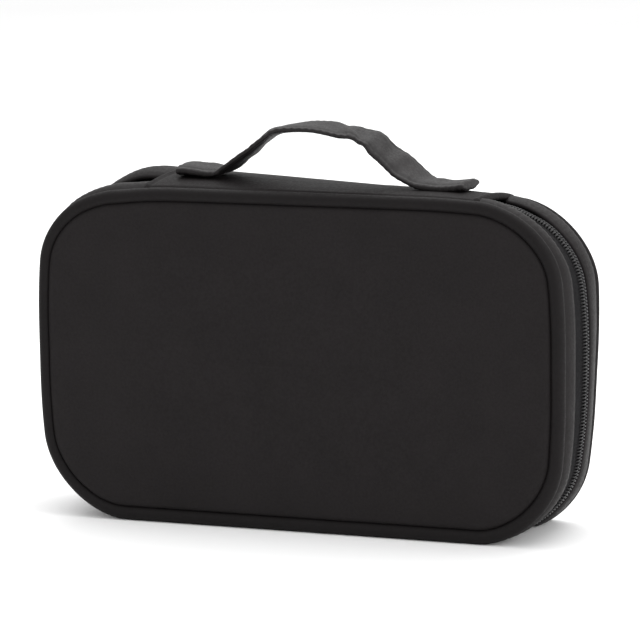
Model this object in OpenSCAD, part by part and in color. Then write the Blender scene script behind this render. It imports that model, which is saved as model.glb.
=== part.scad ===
// Two-sided zipped pouch for cables: two padded trays joined along the top
// by a three-strip top panel with a flat carry handle, a padded divider
// page between them, and a two-slider coil zip round the other three sides.
// Millimetres. X runs along the long edge, Y through the thickness with the
// front tray at -Y, Z is up, and the pouch stands on its lower long edge at Z = 0.

/* [Case] */
// Length of the long edge
case_w = 240; // [220:1:280]
// Height of the standing case without the handle
case_h = 148; // [140:1:180]
// Thickness over both trays
case_d = 55; // [52:1:64]
// Radius of the four corners of the outline
corner_r = 36; // [32:1:40]
// Thickness of the gusset fabric with its facing
gusset_t = 1.8; // [1.4:0.1:2.2]
// Diameter of the corded piping round each panel
piping_dia = 5.5; // [5:0.1:6]
// Thickness of the foam board in each tray
foam_t = 3.3; // [2.5:0.1:3.8]

/* [Top panel and handle] */
// Length of the top panel between its two end seams
top_len = 150; // [140:1:154]
// How far the top panel and the handle sit to the right of the middle
top_shift = 6; // [0:1:8]
// Width of the middle strip, which carries the handle
strip_w = 24; // [23:0.5:26]
// Width of the handle strap
strap_w = 22; // [18:0.5:22]
// Thickness of the handle strap
strap_t = 3.4; // [3:0.1:4]
// Length of the handle from tab end to tab end
handle_len = 136; // [128:1:144]
// Distance between the feet of the arch
handle_feet = 90; // [84:1:96]
// Length of the nearly flat crest of the arch
handle_crest = 50; // [40:1:56]
// Rise of the arch above the top panel, to the middle of the strap
handle_rise = 21; // [16:1:24]

/* [Zip] */
// Width of one row of the coil, seen from outside
coil_w = 2.5; // [2:0.1:2.8]
// Gap between the two rows where the slider's post runs
coil_gap = 1.4; // [1.2:0.1:1.6]
// Length of a slider
slider_len = 13; // [11:0.5:14]
// Width of a slider
slider_w = 9.6; // [9:0.1:9.8]
// Length of a pull from its pin
pull_len = 26; // [20:1:30]

/* [Inside] */
// Height of the elastic loop bands
band_h = 20; // [16:1:24]
// How far a loop stands off the lining
loop_rise = 8; // [6:0.5:8.5]
// Height of the top edge of the mesh pocket
mesh_top = 96; // [80:1:104]
// Depth of the mesh pocket
mesh_depth = 7.5; // [6:0.5:8]
// Length of the divider page
page_w = 200; // [180:1:204]
// Thickness of the divider page
page_t = 2.4; // [2:0.1:3]

/* [Resolution] */
// Facets of round edges
round_fn = 64; // [32:8:96]

/* [Hidden] */
$fn = round_fn;

pr = piping_dia / 2;                     // piping radius
half_d = case_d / 2;
fold_y = strip_w / 2;                    // distance of each fold line from the middle
seam_l = top_shift - top_len / 2;        // left end seam of the top panel
seam_r = top_shift + top_len / 2;        // right end seam of the top panel
gusset_y0 = 8.4;                         // edge of the gusset beside the zip
gusset_y1 = half_d - piping_dia;         // edge of the gusset at the piping
panel_t = 1.2;                           // panel fabric
tape_t = 0.8;
coil_in = gusset_t + 0.4;                // outer face of the coil, in from the outline
tape_in = gusset_t + 1.2;                // outer face of the tape, under the gusset's folded hem
hem_w = 3;                               // width of the folded hem beside the zip
lining_t = 0.6;
lining_in = tape_in + 1.0;               // lining's distance in from the outline
lining_y = half_d - piping_dia - lining_t; // inner face of the lining's back wall
lining_edge = 6;                         // the lining's wall ends here beside the zip
coil_t = 2.4;                            // thickness of the coil
fold_gap = 0.3;

hinge_z = case_h - gusset_t - lining_t - 1; // pivot line of the divider page, under the top lining
page_top = case_h - 13;
page_bottom = 13;

// ---------- outlines in the X-Z plane ----------
module rounded(w, h, r) {
  square([w - 2 * r, h], center = true);
  square([w, h - 2 * r], center = true);
  for (sx = [-1, 1], sz = [-1, 1]) translate([sx * (w / 2 - r), sz * (h / 2 - r)]) circle(r);
}
// the case outline moved in by i
module outline(i) {
  translate([0, case_h / 2]) rounded(case_w - 2 * i, case_h - 2 * i, corner_r - i);
}
module band(i0, i1) { difference() { outline(i0); outline(i1); } }
// the stretch of the top edge between the end seams
module top_cut(extra = 0) {
  translate([seam_l - extra, case_h - 25]) square([top_len + 2 * extra, 30]);
}
// extrude an X-Z shape from depth y0 to depth y1
module slab(y0, y1) { translate([0, y1, 0]) rotate([90, 0, 0]) linear_extrude(y1 - y0) children(); }
// extrude a Y-Z shape from x0 to x1
module xslab(x0, x1) { translate([x0, 0, 0]) rotate([90, 0, 90]) linear_extrude(x1 - x0) children(); }
module to_front() { mirror([0, 1, 0]) children(); }

// ---------- pieces that both trays have, drawn for the back tray ----------
module tray_panel() { slab(half_d - panel_t, half_d) outline(piping_dia); }

module tray_foam() { slab(half_d - panel_t - foam_t - 0.1, half_d - panel_t) outline(piping_dia + 0.5); }

module tray_piping() {
  y = half_d - pr; w = case_w / 2 - corner_r; h = case_h / 2 - corner_r;
  translate([0, y, case_h / 2]) {
    for (s = [-1, 1]) {
      translate([-w, 0, s * (case_h / 2 - pr)]) rotate([0, 90, 0]) cylinder(r = pr, h = 2 * w);
      translate([s * (case_w / 2 - pr), 0, -h]) cylinder(r = pr, h = 2 * h);
    }
    for (q = [[1, 1, 0], [-1, 1, 90], [-1, -1, 180], [1, -1, 270]])
      translate([q[0] * w, 0, q[1] * h]) rotate([90, 0, 0]) rotate([0, 0, q[2]])
        rotate_extrude(angle = 90) translate([corner_r - pr, 0]) circle(pr);
  }
}

module tray_gusset() {
  slab(gusset_y0, gusset_y1) difference() { band(0, gusset_t); top_cut(); }
  slab(gusset_y0, gusset_y0 + hem_w) difference() { band(gusset_t - 0.2, tape_in); top_cut(); }
}

module tray_top() {
  slab(fold_y + fold_gap, gusset_y1) intersection() { band(0, gusset_t); top_cut(); }
}

module tray_lining() {
  slab(lining_y, lining_y + lining_t) outline(lining_in);
  difference() {
    slab(lining_edge, lining_y + lining_t / 2) band(lining_in, lining_in + lining_t);
    slab(lining_edge - 1, fold_y + fold_gap) top_cut();
  }
}

module tray_tape() {
  slab(1.2, 12) difference() { band(tape_in, tape_in + tape_t); top_cut(0.4); }
}

// the coil row carries the tape's edge in a slot of its own
module tray_coil() {
  difference() {
    slab(coil_gap / 2, coil_gap / 2 + coil_w) difference() { band(coil_in, coil_in + coil_t); top_cut(0.4); }
    slab(1.2, 12) band(tape_in, tape_in + tape_t);
  }
}

// ---------- elastic loops ----------
// one round loop of chord c standing rise off the plane y = 0 towards -Y, height h along Z
module loop_arch(c, rise, h, t = 0.9) {
  r = (c * c / 4 + rise * rise) / (2 * rise);
  intersection() {
    translate([0, r - rise, -h / 2]) difference() {
      cylinder(r = r, h = h);
      translate([0, 0, -1]) cylinder(r = r - t, h = h + 2);
    }
    translate([-c / 2, -rise - 1, -h / 2]) cube([c, rise + 1, h]);
  }
}
// a band of loops with stitched lands between them; chords is the list of loop widths
function run(v, i) = i <= 0 ? 0 : v[i - 1] + run(v, i - 1);
module loop_band(chords, land, rise, h) {
  n = len(chords);
  total = run(chords, n) + land * (n + 1);
  for (i = [0:n - 1]) translate([-total / 2 + land * (i + 1) + run(chords, i) + chords[i] / 2, 0, 0])
    loop_arch(chords[i], rise, h);
  for (i = [0:n]) translate([-total / 2 + land * i + run(chords, i) - 0.4, -0.9, -h / 2])
    cube([land + 0.8, 0.9, h]);
}
module land_tacks(chords, land, h) {
  n = len(chords);
  total = run(chords, n) + land * (n + 1);
  for (i = [0:n]) for (s = [-1, 1])
    translate([-total / 2 + land * i + run(chords, i) + land / 2 - 0.6, -1.3, s * (h / 2 - 2.5) - 1.5])
      cube([1.2, 0.4, 3]);
}
upper_chords = [34, 34, 24, 24, 34];
lower_chords = [44, 24, 24, 24, 44];
land_w = 5;
upper_z = case_h * 0.665;
lower_z = case_h * 0.315;

// ---------- back tray ----------
module back_panel() color([0.16, 0.15, 0.15]) tray_panel();
module back_foam_board() color([0.30, 0.30, 0.31]) tray_foam();
module back_piping() color([0.13, 0.12, 0.13]) tray_piping();
module back_gusset() color([0.18, 0.17, 0.18]) tray_gusset();
module top_panel_back() color([0.22, 0.21, 0.22]) tray_top();
module back_lining() color([0.25, 0.25, 0.26]) tray_lining();
module back_zip_tape() color([0.10, 0.10, 0.10]) tray_tape();
module back_zip_coil() color([0.12, 0.12, 0.12]) tray_coil();
module loop_band_upper() color([0.14, 0.14, 0.14])
  translate([0, lining_y, upper_z]) loop_band(upper_chords, land_w, loop_rise, band_h);
module loop_band_lower() color([0.14, 0.14, 0.14])
  translate([0, lining_y, lower_z]) loop_band(lower_chords, land_w, loop_rise, band_h);
module loop_bartacks() color([0.08, 0.08, 0.08]) {
  translate([0, lining_y, upper_z]) land_tacks(upper_chords, land_w, band_h);
  translate([0, lining_y, lower_z]) land_tacks(lower_chords, land_w, band_h);
}

// ---------- front tray ----------
module front_panel() color([0.16, 0.15, 0.15]) to_front() tray_panel();
module front_foam_board() color([0.30, 0.30, 0.31]) to_front() tray_foam();
module front_piping() color([0.13, 0.12, 0.13]) to_front() tray_piping();
module front_gusset() color([0.18, 0.17, 0.18]) to_front() tray_gusset();
module top_panel_front() color([0.22, 0.21, 0.22]) to_front() tray_top();
module front_lining() color([0.25, 0.25, 0.26]) to_front() tray_lining();
module front_zip_tape() color([0.10, 0.10, 0.10]) to_front() tray_tape();
module front_zip_coil() color([0.12, 0.12, 0.12]) to_front() tray_coil();

// open-topped pocket: a mesh front with pleated sides and floor sewn to the lining
mesh_w = case_w - 36;
mesh_z0 = 14;
mesh_face = lining_y - mesh_depth;
module mesh_pocket() color([0.20, 0.20, 0.21, 0.8]) to_front() {
  difference() {
    slab(mesh_face, lining_y) mesh_shape(0, mesh_top);
    slab(mesh_face + 0.6, lining_y + 1) mesh_shape(0.6, mesh_top + 1);
  }
}
module mesh_shape(i, top) {
  w = mesh_w / 2 - i; z0 = mesh_z0 + i; r = 14 - i;
  translate([-w, z0 + r]) square([2 * w, top - z0 - r]);
  translate([-w + r, z0]) square([2 * w - 2 * r, r + 1]);
  for (s = [-1, 1]) translate([s * (w - r), z0 + r]) circle(r);
}
module mesh_pocket_binding() color([0.10, 0.10, 0.10]) to_front()
  slab(mesh_face - 1.0, mesh_face) translate([-mesh_w / 2, mesh_top - 9]) square([mesh_w, 10]);

// ---------- middle strip with the handle ----------
module top_panel_middle() color([0.22, 0.21, 0.22])
  slab(-fold_y, fold_y) intersection() { band(0, gusset_t); top_cut(); }

module top_lining() color([0.25, 0.25, 0.26])
  translate([seam_l + 1, -fold_y + 0.5, case_h - gusset_t - lining_t])
    cube([top_len - 2, strip_w - 1, lining_t]);

// a polyline whose inner corners are rounded: each point is [x, z, r]
function unit(v) = v / norm(v);
function bend(a, b, c, r, n = 8) =
  let (u = unit([a[0] - b[0], a[1] - b[1]]), v = unit([c[0] - b[0], c[1] - b[1]]),
       half = acos(u * v) / 2, d = r / tan(half), m = unit(u + v),
       o = [b[0], b[1]] + m * (r / sin(half)), p = [b[0], b[1]] + u * d, q = [b[0], b[1]] + v * d,
       a0 = atan2(p[1] - o[1], p[0] - o[0]), raw = atan2(q[1] - o[1], q[0] - o[0]) - a0,
       sweep = raw > 180 ? raw - 360 : raw < -180 ? raw + 360 : raw)
  [for (i = [0:n]) o + r * [cos(a0 + sweep * i / n), sin(a0 + sweep * i / n)]];
function rounded_path(p) = concat([[p[0][0], p[0][1]]],
  [for (i = [1:len(p) - 2]) for (q = bend(p[i - 1], p[i], p[i + 1], p[i][2])) q],
  [[p[len(p) - 1][0], p[len(p) - 1][1]]]);
function normal(p, i) = let (a = p[max(i - 1, 0)], b = p[min(i + 1, len(p) - 1)], t = unit(b - a)) [-t[1], t[0]];
function ribbon(p, t) = concat([for (i = [0:len(p) - 1]) p[i] + normal(p, i) * t / 2],
  [for (i = [len(p) - 1:-1:0]) p[i] - normal(p, i) * t / 2]);
function handle_path(cut) = rounded_path([
  [-handle_len / 2 + cut, strap_t / 2], [-handle_feet / 2, strap_t / 2, 7], [-handle_crest / 2 - 1, handle_rise - 1.5, 9],
  [0, handle_rise + 1, 120],
  [handle_crest / 2 + 1, handle_rise - 1.5, 9], [handle_feet / 2, strap_t / 2, 7], [handle_len / 2 - cut, strap_t / 2]]);

module handle_strap() color([0.24, 0.23, 0.24]) translate([top_shift, 0, case_h]) difference() {
  slab(-strap_w / 2, strap_w / 2) polygon(ribbon(handle_path(0), strap_t));
  slab(-strap_w / 2 + 2, strap_w / 2 - 2) polygon(ribbon(handle_path(3), strap_t - 1.8));
}
module handle_core() color([0.35, 0.35, 0.36]) translate([top_shift, 0, case_h])
  slab(-strap_w / 2 + 2, strap_w / 2 - 2) polygon(ribbon(handle_path(3), strap_t - 1.8));
module handle_bartacks() color([0.08, 0.08, 0.08]) translate([top_shift, 0, case_h + strap_t])
  for (s = [-1, 1]) {
    for (x = [handle_feet / 2 + 7, handle_len / 2 - 3]) translate([s * x - 0.7, -strap_w / 2 + 2, 0]) cube([1.4, strap_w - 4, 0.4]);
    for (y = [-1, 1]) translate([min(s * (handle_feet / 2 + 7), s * (handle_len / 2 - 3)), y * (strap_w / 2 - 3) - 0.5, 0])
      cube([(handle_len - handle_feet) / 2 - 10, 1, 0.4]);
  }

// ---------- divider page ----------
module page_shape(i) {
  w = page_w / 2 - i; z0 = page_bottom + i; z1 = page_top - i; s1 = 34;
  // round shoulders below, a cut-back top that clears the zip when the pouch opens
  difference() {
    translate([0, (z0 + z1) / 2]) rounded(2 * w, z1 - z0, 20 - i);
    for (s = [-1, 1]) polygon([[s * (w + 1), z1 - 24], [s * (w + 1), z1 + 1], [s * (w - s1), z1 + 1]]);
  }
}
module divider_board() color([0.22, 0.22, 0.23]) slab(-page_t / 2, page_t / 2) page_shape(2.5);
module divider_binding() color([0.10, 0.10, 0.10])
  slab(-page_t / 2 - 0.4, page_t / 2 + 0.4) difference() { page_shape(0); page_shape(2.5); }
module divider_hinge_tape() color([0.12, 0.12, 0.12]) {
  translate([top_shift - 62, 0, hinge_z]) rotate([0, 90, 0]) cylinder(r = 0.6, h = 124, $fn = 32);
  translate([top_shift - 62, -0.5, page_top]) cube([124, 1, hinge_z - page_top]);
}
page_chords = [30, 30, 30, 30];
page_loop_z = case_h * 0.43;
module divider_loop_band() color([0.14, 0.14, 0.14])
  translate([0, page_t / 2, page_loop_z]) mirror([0, 1, 0]) loop_band(page_chords, land_w, 6.5, 24);
// flat pocket on the front of the page, open at the top
module divider_pocket() color([0.20, 0.20, 0.21]) difference() {
  slab(-page_t / 2 - 5, -page_t / 2) translate([-84, 24]) square([168, 62]);
  slab(-page_t / 2 - 4.4, -page_t / 2 + 1) translate([-83.4, 24.6]) square([166.8, 70]);
}

// ---------- zip sliders on the straight run of the left side ----------
post_t = 0.8;
pin_x = -1.3;
plate_x = coil_in - 0.4;                 // inner face of the slider's outer plate
park = case_h / 2;
// drawn with the mouth at Z = 0, the tail up, outside of the case towards -X, x = 0 on the case outline
module slider() {
  hw = slider_w / 2; l = slider_len;
  xslab(plate_x - 1.4, plate_x) slider_shape(hw, l);
  xslab(coil_in + coil_t + 0.4, coil_in + coil_t + 1.6) slider_shape(hw, l);
  // thin post between the two coil rows, near the mouth
  translate([plate_x - 1, -post_t / 2, 0.6]) cube([coil_t + 2.6, post_t, 4]);
  // crown lugs and the pin that the pull turns on
  translate([pin_x, 0, l / 2]) {
    for (s = [-1, 1]) translate([0, s * 2.6, 0]) {
      rotate([90, 0, 0]) cylinder(r = 1.2, h = 1.2, center = true, $fn = 32);
      translate([0, -0.6, -1.2]) cube([plate_x - 1 - pin_x, 1.2, 2.4]);
    }
    rotate([90, 0, 0]) cylinder(r = 0.65, h = 5.4, center = true, $fn = 32);
  }
}
module slider_shape(hw, l) {
  polygon([[-hw + 0.8, 0], [hw - 0.8, 0], [hw, 1.2], [hw, l * 0.45], [hw - 1.2, l - 1], [hw - 2.4, l],
    [-hw + 2.4, l], [-hw + 1.2, l - 1], [-hw, l * 0.45], [-hw, 1.2]]);
}
// pull drawn hanging towards -Z from its pin at the origin
module pull() {
  difference() {
    union() {
      rotate([90, 0, 0]) cylinder(r = 1.5, h = 3.4, center = true, $fn = 32);
      translate([-0.6, -1.7, -6]) cube([1.2, 3.4, 6]);
      translate([-0.6, 0, 0]) xslab(0, 1.2) {
        translate([-4, -pull_len + 4]) square([8, pull_len - 9]);
        translate([0, -pull_len + 4]) circle(4);
      }
    }
    rotate([90, 0, 0]) cylinder(r = 0.95, h = 8, center = true, $fn = 32);
    translate([-2, 0, -pull_len + 4.5]) rotate([0, 90, 0]) cylinder(r = 1.6, h = 4, $fn = 32);
  }
}
module at_upper() { translate([-case_w / 2, 0, park + 0.4]) children(); }
module at_lower() { translate([-case_w / 2, 0, park - 0.4]) mirror([0, 0, 1]) children(); }
module upper_slider() color([0.12, 0.12, 0.13]) at_upper() slider();
module lower_slider() color([0.12, 0.12, 0.13]) at_lower() slider();
// the upper pull is folded up and leans on the zip; the lower pull hangs
module upper_slider_pull() color([0.15, 0.15, 0.16])
  at_upper() translate([pin_x, 0, slider_len / 2]) rotate([0, 3, 0]) mirror([0, 0, 1]) pull();
module lower_slider_pull() color([0.15, 0.15, 0.16])
  at_lower() translate([pin_x, 0, slider_len / 2]) mirror([0, 0, 1]) pull();

back_panel();
back_foam_board();
back_piping();
back_gusset();
top_panel_back();
back_lining();
back_zip_tape();
back_zip_coil();
loop_band_upper();
loop_band_lower();
loop_bartacks();
front_panel();
front_foam_board();
front_piping();
front_gusset();
top_panel_front();
front_lining();
front_zip_tape();
front_zip_coil();
mesh_pocket();
mesh_pocket_binding();
top_panel_middle();
top_lining();
handle_strap();
handle_core();
handle_bartacks();
divider_board();
divider_binding();
divider_hinge_tape();
divider_loop_band();
divider_pocket();
upper_slider();
upper_slider_pull();
lower_slider();
lower_slider_pull();
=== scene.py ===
import bpy, bmesh, math
import numpy as np
from mathutils import Matrix, Vector


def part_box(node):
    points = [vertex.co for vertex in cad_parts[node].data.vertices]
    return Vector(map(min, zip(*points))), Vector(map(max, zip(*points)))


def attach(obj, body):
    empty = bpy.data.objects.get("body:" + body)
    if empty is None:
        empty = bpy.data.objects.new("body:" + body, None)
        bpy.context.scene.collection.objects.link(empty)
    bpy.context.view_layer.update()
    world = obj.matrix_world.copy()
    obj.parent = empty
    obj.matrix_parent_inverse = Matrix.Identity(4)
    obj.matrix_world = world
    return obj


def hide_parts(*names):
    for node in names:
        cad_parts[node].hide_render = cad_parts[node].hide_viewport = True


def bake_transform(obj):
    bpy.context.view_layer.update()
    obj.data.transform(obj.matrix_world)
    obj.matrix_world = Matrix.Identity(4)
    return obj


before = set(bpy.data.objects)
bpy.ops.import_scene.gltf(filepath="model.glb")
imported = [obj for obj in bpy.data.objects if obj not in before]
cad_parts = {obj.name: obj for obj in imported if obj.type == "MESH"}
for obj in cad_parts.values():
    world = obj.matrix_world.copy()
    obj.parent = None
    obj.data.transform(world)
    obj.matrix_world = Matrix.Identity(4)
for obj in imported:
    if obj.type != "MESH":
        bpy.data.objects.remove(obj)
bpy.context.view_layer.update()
scene = bpy.context.scene
MM = 0.001

# ------------------------------------------------------------------ camera
AZ, EL, DIST, F_PX, TX, TY, ROLL = 20.0, 10.09, 1414.2, 3269.0, 2.85, 13.89, 0.91
a_, e_ = math.radians(AZ), math.radians(EL)
c_back = Vector((math.sin(a_) * math.cos(e_), -math.cos(a_) * math.cos(e_), math.sin(e_)))
c_right = Vector((math.cos(a_), math.sin(a_), 0))
c_up = c_back.cross(c_right)
c_pos = (c_back * DIST + c_right * TX + c_up * TY + Vector((0, 0, 73.8))) * MM
r_ = math.radians(ROLL)
cam_r = c_right * math.cos(r_) - c_up * math.sin(r_)
cam_u = c_right * math.sin(r_) + c_up * math.cos(r_)
cam = bpy.data.objects.new("camera", bpy.data.cameras.new("camera"))
scene.collection.objects.link(cam)
cam.data.sensor_width = 36.0
cam.data.lens = F_PX / 640.0 * 36.0
cam.data.clip_start, cam.data.clip_end = 0.05, 20.0
m = Matrix.Identity(4)
for i in range(3):
    m[i][0], m[i][1], m[i][2], m[i][3] = cam_r[i], cam_u[i], c_back[i], c_pos[i]
cam.matrix_world = m
scene.camera = cam
scene.view_settings.view_transform = "Standard"
scene.view_settings.look = "None"

# ------------------------------------------------------------------ sizes, from the CAD
lo_g, hi_g = (np.array(v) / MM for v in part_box("back_gusset"))
lo_m, hi_m = (np.array(v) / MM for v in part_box("top_panel_middle"))
A = (hi_g[0] - lo_g[0]) / 2              # half length of the case
HT = hi_g[2]                             # height of the case
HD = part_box("back_piping")[1][1] / MM    # half depth
PR = (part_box("back_piping")[1][1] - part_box("back_piping")[0][1]) / MM / 2
SEAM_L, SEAM_R = lo_m[0], hi_m[0]
SHIFT = (SEAM_L + SEAM_R) / 2
G1 = HD - 2 * PR                         # gusset meets piping here
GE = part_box("back_gusset")[0][1] / MM       # the gusset's hem beside the zip
LIN_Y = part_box("back_lining")[1][1] / MM - 0.6
RT, RB = 34.5, 36.5

# ------------------------------------------------------------------ outline
def smooth(t):
    t = np.clip(t, 0, 1)
    return t * t * (3 - 2 * t)

def make_outline():
    """One turn of the case outline in X-Z, clockwise seen from the front, from the right end seam of the top panel."""
    def arc(cx, cz, r, a0, a1, n=60):
        t = np.radians(np.linspace(a0, a1, n))
        return np.c_[cx + r * np.cos(t), cz + r * np.sin(t)]
    def line(p, q, n=80):
        t = np.linspace(0, 1, n)[:, None]
        return np.array(p) + (np.array(q) - np.array(p)) * t
    w, h = A, HT
    segs = [arc(w - RT, h - RT, RT, 90, 0),
            line((w, h - RT), (w, RB)), arc(w - RB, RB, RB, 0, -90),
            line((w - RB, 0), (-w + RB, 0), 160), arc(-w + RB, RB, RB, -90, -180),
            line((-w, RB), (-w, h - RT)), arc(-w + RT, h - RT, RT, 180, 90)]
    p = [segs[0]]
    for s in segs[1:]:
        p.append(s[1:])
    p = np.vstack(p)
    # the short sides bow: full length at mid height, a little less at the corners
    f = np.clip((np.abs(p[:, 1] - h / 2) - 10) / (h / 2 - 10), 0, 1) ** 2
    p[:, 0] *= 1 - 0.05 * f
    return np.vstack([[(SEAM_R, h)], p, line((SEAM_L, h), (SEAM_R, h), 120)])

_p = make_outline()
_d = np.r_[0, np.cumsum(np.hypot(*np.diff(_p, axis=0).T))]
LEN = _d[-1]
_n = 2880
_s = np.linspace(0, LEN, _n, endpoint=False)
OUT = np.c_[np.interp(_s, _d, _p[:, 0]), np.interp(_s, _d, _p[:, 1])]
_t = np.roll(OUT, -6, 0) - np.roll(OUT, 6, 0)
_t /= np.linalg.norm(_t, axis=1)[:, None]
NRM = np.c_[-_t[:, 1], _t[:, 0]]         # clockwise path: outward normal
LC = _d[np.argmin(np.abs(_p[:, 0] - SEAM_L) + np.abs(_p[:, 1] - HT) * 10)]

def at(s):
    """Point and outward normal of the outline at s millimetres along it."""
    k = (np.asarray(s, float) % LEN) / LEN * _n
    i = np.floor(k).astype(int) % _n
    f = (k - np.floor(k))[..., None]
    j = (i + 1) % _n
    return OUT[i] * (1 - f) + OUT[j] * f, NRM[i] * (1 - f) + NRM[j] * f

def where(x, z):
    """Millimetres along the outline of the point nearest (x, z)."""
    return float(_s[np.argmin((OUT[:, 0] - x) ** 2 + (OUT[:, 1] - z) ** 2)])

S_RIGHT, S_BOTTOM, S_LEFT = where(A, HT / 2), where(0, 0), where(-A, HT / 2)

def wob(s, seed, scale=1.0):
    """A smooth fixed wobble in about -1 to 1."""
    s = np.asarray(s, float) / scale
    k = seed * 1.7
    return (np.sin(s * 1.00 + k) + 0.6 * np.sin(s * 2.31 + 2.1 * k) + 0.4 * np.sin(s * 4.7 + 3.3 * k)
            + 0.25 * np.sin(s * 9.1 + 5.2 * k)) / 2.25

TW, DZ = 3.27, -2.3
CORNER = {(1, 1): (0.6, 0.6), (-1, 1): (0.0, 1.8), (1, -1): (0.0, -0.5), (-1, -1): (0.4, 1.0)}   # (right/left, top/bottom): front, back
def settle(p):
    """The slack of the soft case. The back half is turned a little against the front, the corners give, and the right
    side wall swells at the zip. The flat bottom stays on the ground."""
    p = np.array(p, float)
    x, y, z = p[:, 0].copy(), p[:, 1], p[:, 2].copy()
    zc = z - HT / 2
    k = np.clip((y + HD) / (2 * HD), -0.1, 1.1)
    away = smooth((np.abs(y) - 6) / 14)
    dx = -0.5 * (1 - k) * away * smooth((x - 60) / 50) + (1.45 * (1 - k) + 1.0 * k) * away * smooth((-x - 60) / 50)
    dz = -(0.9 * (1 - k) + 0.2 * k) * smooth((z - 100) / 40)
    for (sx, sz), (f_, b_) in CORNER.items():
        w = smooth((sx * x / A - 0.66) / 0.22) * smooth((sz * zc / (HT / 2) - 0.42) / 0.42) * (f_ * (1 - k) + b_ * k)
        dx -= sx * 0.75 * w
        dz -= sz * 0.66 * w
    dz -= (1 - k) * smooth((z - 96) / 36) * (2.3 * np.exp(-((x + 88) / 18) ** 2) + 1.2 * np.exp(-((x - 90) / 18) ** 2))
    t = np.radians(TW * k)
    tx, tz = x * (np.cos(t) - 1) + zc * np.sin(t), -x * np.sin(t) + zc * (np.cos(t) - 1) + DZ * k
    over = np.clip(np.abs(x) - (A * 0.95 - RB), 0, RB)
    lift = RB - np.sqrt(RB ** 2 - over ** 2)
    lim = np.clip(0.8 * lift / np.maximum(np.abs(tz), 0.01), 0, 1)
    g = lim + (1 - lim) * smooth(z / 60)
    h = np.clip((z - 8) / 132, 0, 1)
    swell = 3.2 * np.sin(np.pi * h) ** 1.1 * np.clip(1 - (y / 21.5) ** 2, 0, 1) ** 1.8 * smooth((x - 98) / 16)
    p[:, 0] = x + dx + tx * g + swell
    p[:, 1] -= 0.5 * swell
    p[:, 2] = z + dz + tz * g
    return p

# ------------------------------------------------------------------ mesh helpers
def make(name, verts, faces, mat, body=None, uv=None, shade=True, replaces=(), slot=None, fix=True, deform=True):
    v = np.asarray(verts, float)
    if callable(deform):
        w = deform(v)[:, None]
        v = settle(v) * w + v * (1 - w)
    elif deform:
        v = settle(v)
    me = bpy.data.meshes.new(name)
    me.from_pydata((v * MM).tolist(), [], [list(map(int, f)) for f in faces])
    me.update()
    if uv is not None:
        uv = np.asarray(uv, float) / 100.0
        layer = me.uv_layers.new(name="UVMap")
        idx = np.zeros(len(me.loops), np.int32)
        me.loops.foreach_get("vertex_index", idx)
        layer.data.foreach_set("uv", uv[idx].astype(np.float32).ravel())
    if fix:
        bm = bmesh.new(); bm.from_mesh(me)
        bmesh.ops.recalc_face_normals(bm, faces=bm.faces)
        bm.to_mesh(me); bm.free()
    if shade:
        me.polygons.foreach_set("use_smooth", [True] * len(me.polygons))
    me.materials.append(mat)
    o = bpy.data.objects.new(name, me)
    scene.collection.objects.link(o)
    if body:
        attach(o, body)
    if replaces:
        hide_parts(*replaces)
    return o

def grid_faces(nu, nv, cu=False, cv=False, base=0):
    """Quads of an nu by nv grid of points, closed along u or v if asked."""
    i = np.arange(nu if cu else nu - 1); j = np.arange(nv if cv else nv - 1)
    I, J = np.meshgrid(i, j, indexing="ij")
    I, J = I.ravel(), J.ravel()
    a = I * nv + J; b = ((I + 1) % nu) * nv + J
    c = ((I + 1) % nu) * nv + (J + 1) % nv; d = I * nv + (J + 1) % nv
    return (np.c_[a, b, c, d] + base).tolist()

def sweep(name, s, prof, mat, closed=False, sgn=1, **kw):
    """A closed profile carried along the outline. prof is (len(s), k, 2): distance in from the outline, and y."""
    s = np.asarray(s, float); prof = np.asarray(prof, float)
    n, k = prof.shape[:2]
    p, nn = at(s)
    xz = p[:, None, :] - nn[:, None, :] * prof[:, :, :1]
    v = np.stack([xz[..., 0], sgn * prof[..., 1], xz[..., 1]], -1).reshape(-1, 3)
    f = grid_faces(n, k, closed, True)
    if not closed:
        f += [list(range(k)), [(n - 1) * k + i for i in range(k)][::-1]]
    d = np.r_[0, np.cumsum(np.linalg.norm(np.diff(prof[n // 2], axis=0), axis=1))]
    uv = np.stack(np.broadcast_arrays(s[:, None], d[None, :]), -1).reshape(-1, 2)
    return make(name, v, f, mat, uv=uv, **kw)

def rounded(points):
    """A line through corner points with rounded bends: (x, z, radius)."""
    out = [np.array(points[0][:2], float)]
    for i in range(1, len(points) - 1):
        p0, p1, p2 = (np.array(q[:2], float) for q in points[i - 1:i + 2]); r = points[i][2]
        d0, d1 = (p0 - p1) / np.linalg.norm(p0 - p1), (p2 - p1) / np.linalg.norm(p2 - p1)
        half = math.acos(np.clip(d0 @ d1, -1, 1)) / 2
        cut = r / math.tan(half)
        a, b = p1 + d0 * cut, p1 + d1 * cut
        c = p1 + (d0 + d1) / np.linalg.norm(d0 + d1) * r / math.sin(half)
        a0 = math.atan2(*(a - c)[::-1]); a1 = math.atan2(*(b - c)[::-1])
        da = (a1 - a0 + math.pi) % (2 * math.pi) - math.pi
        for t in np.linspace(0, 1, 24):
            out.append(c + r * np.array([math.cos(a0 + da * t), math.sin(a0 + da * t)]))
    out.append(np.array(points[-1][:2], float))
    return np.array(out)

def resample(p, n):
    d = np.r_[0, np.cumsum(np.linalg.norm(np.diff(p, axis=0), axis=1))]
    q = np.linspace(0, d[-1], n)
    return np.stack([np.interp(q, d, p[:, k]) for k in range(p.shape[1])], 1), q

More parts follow.
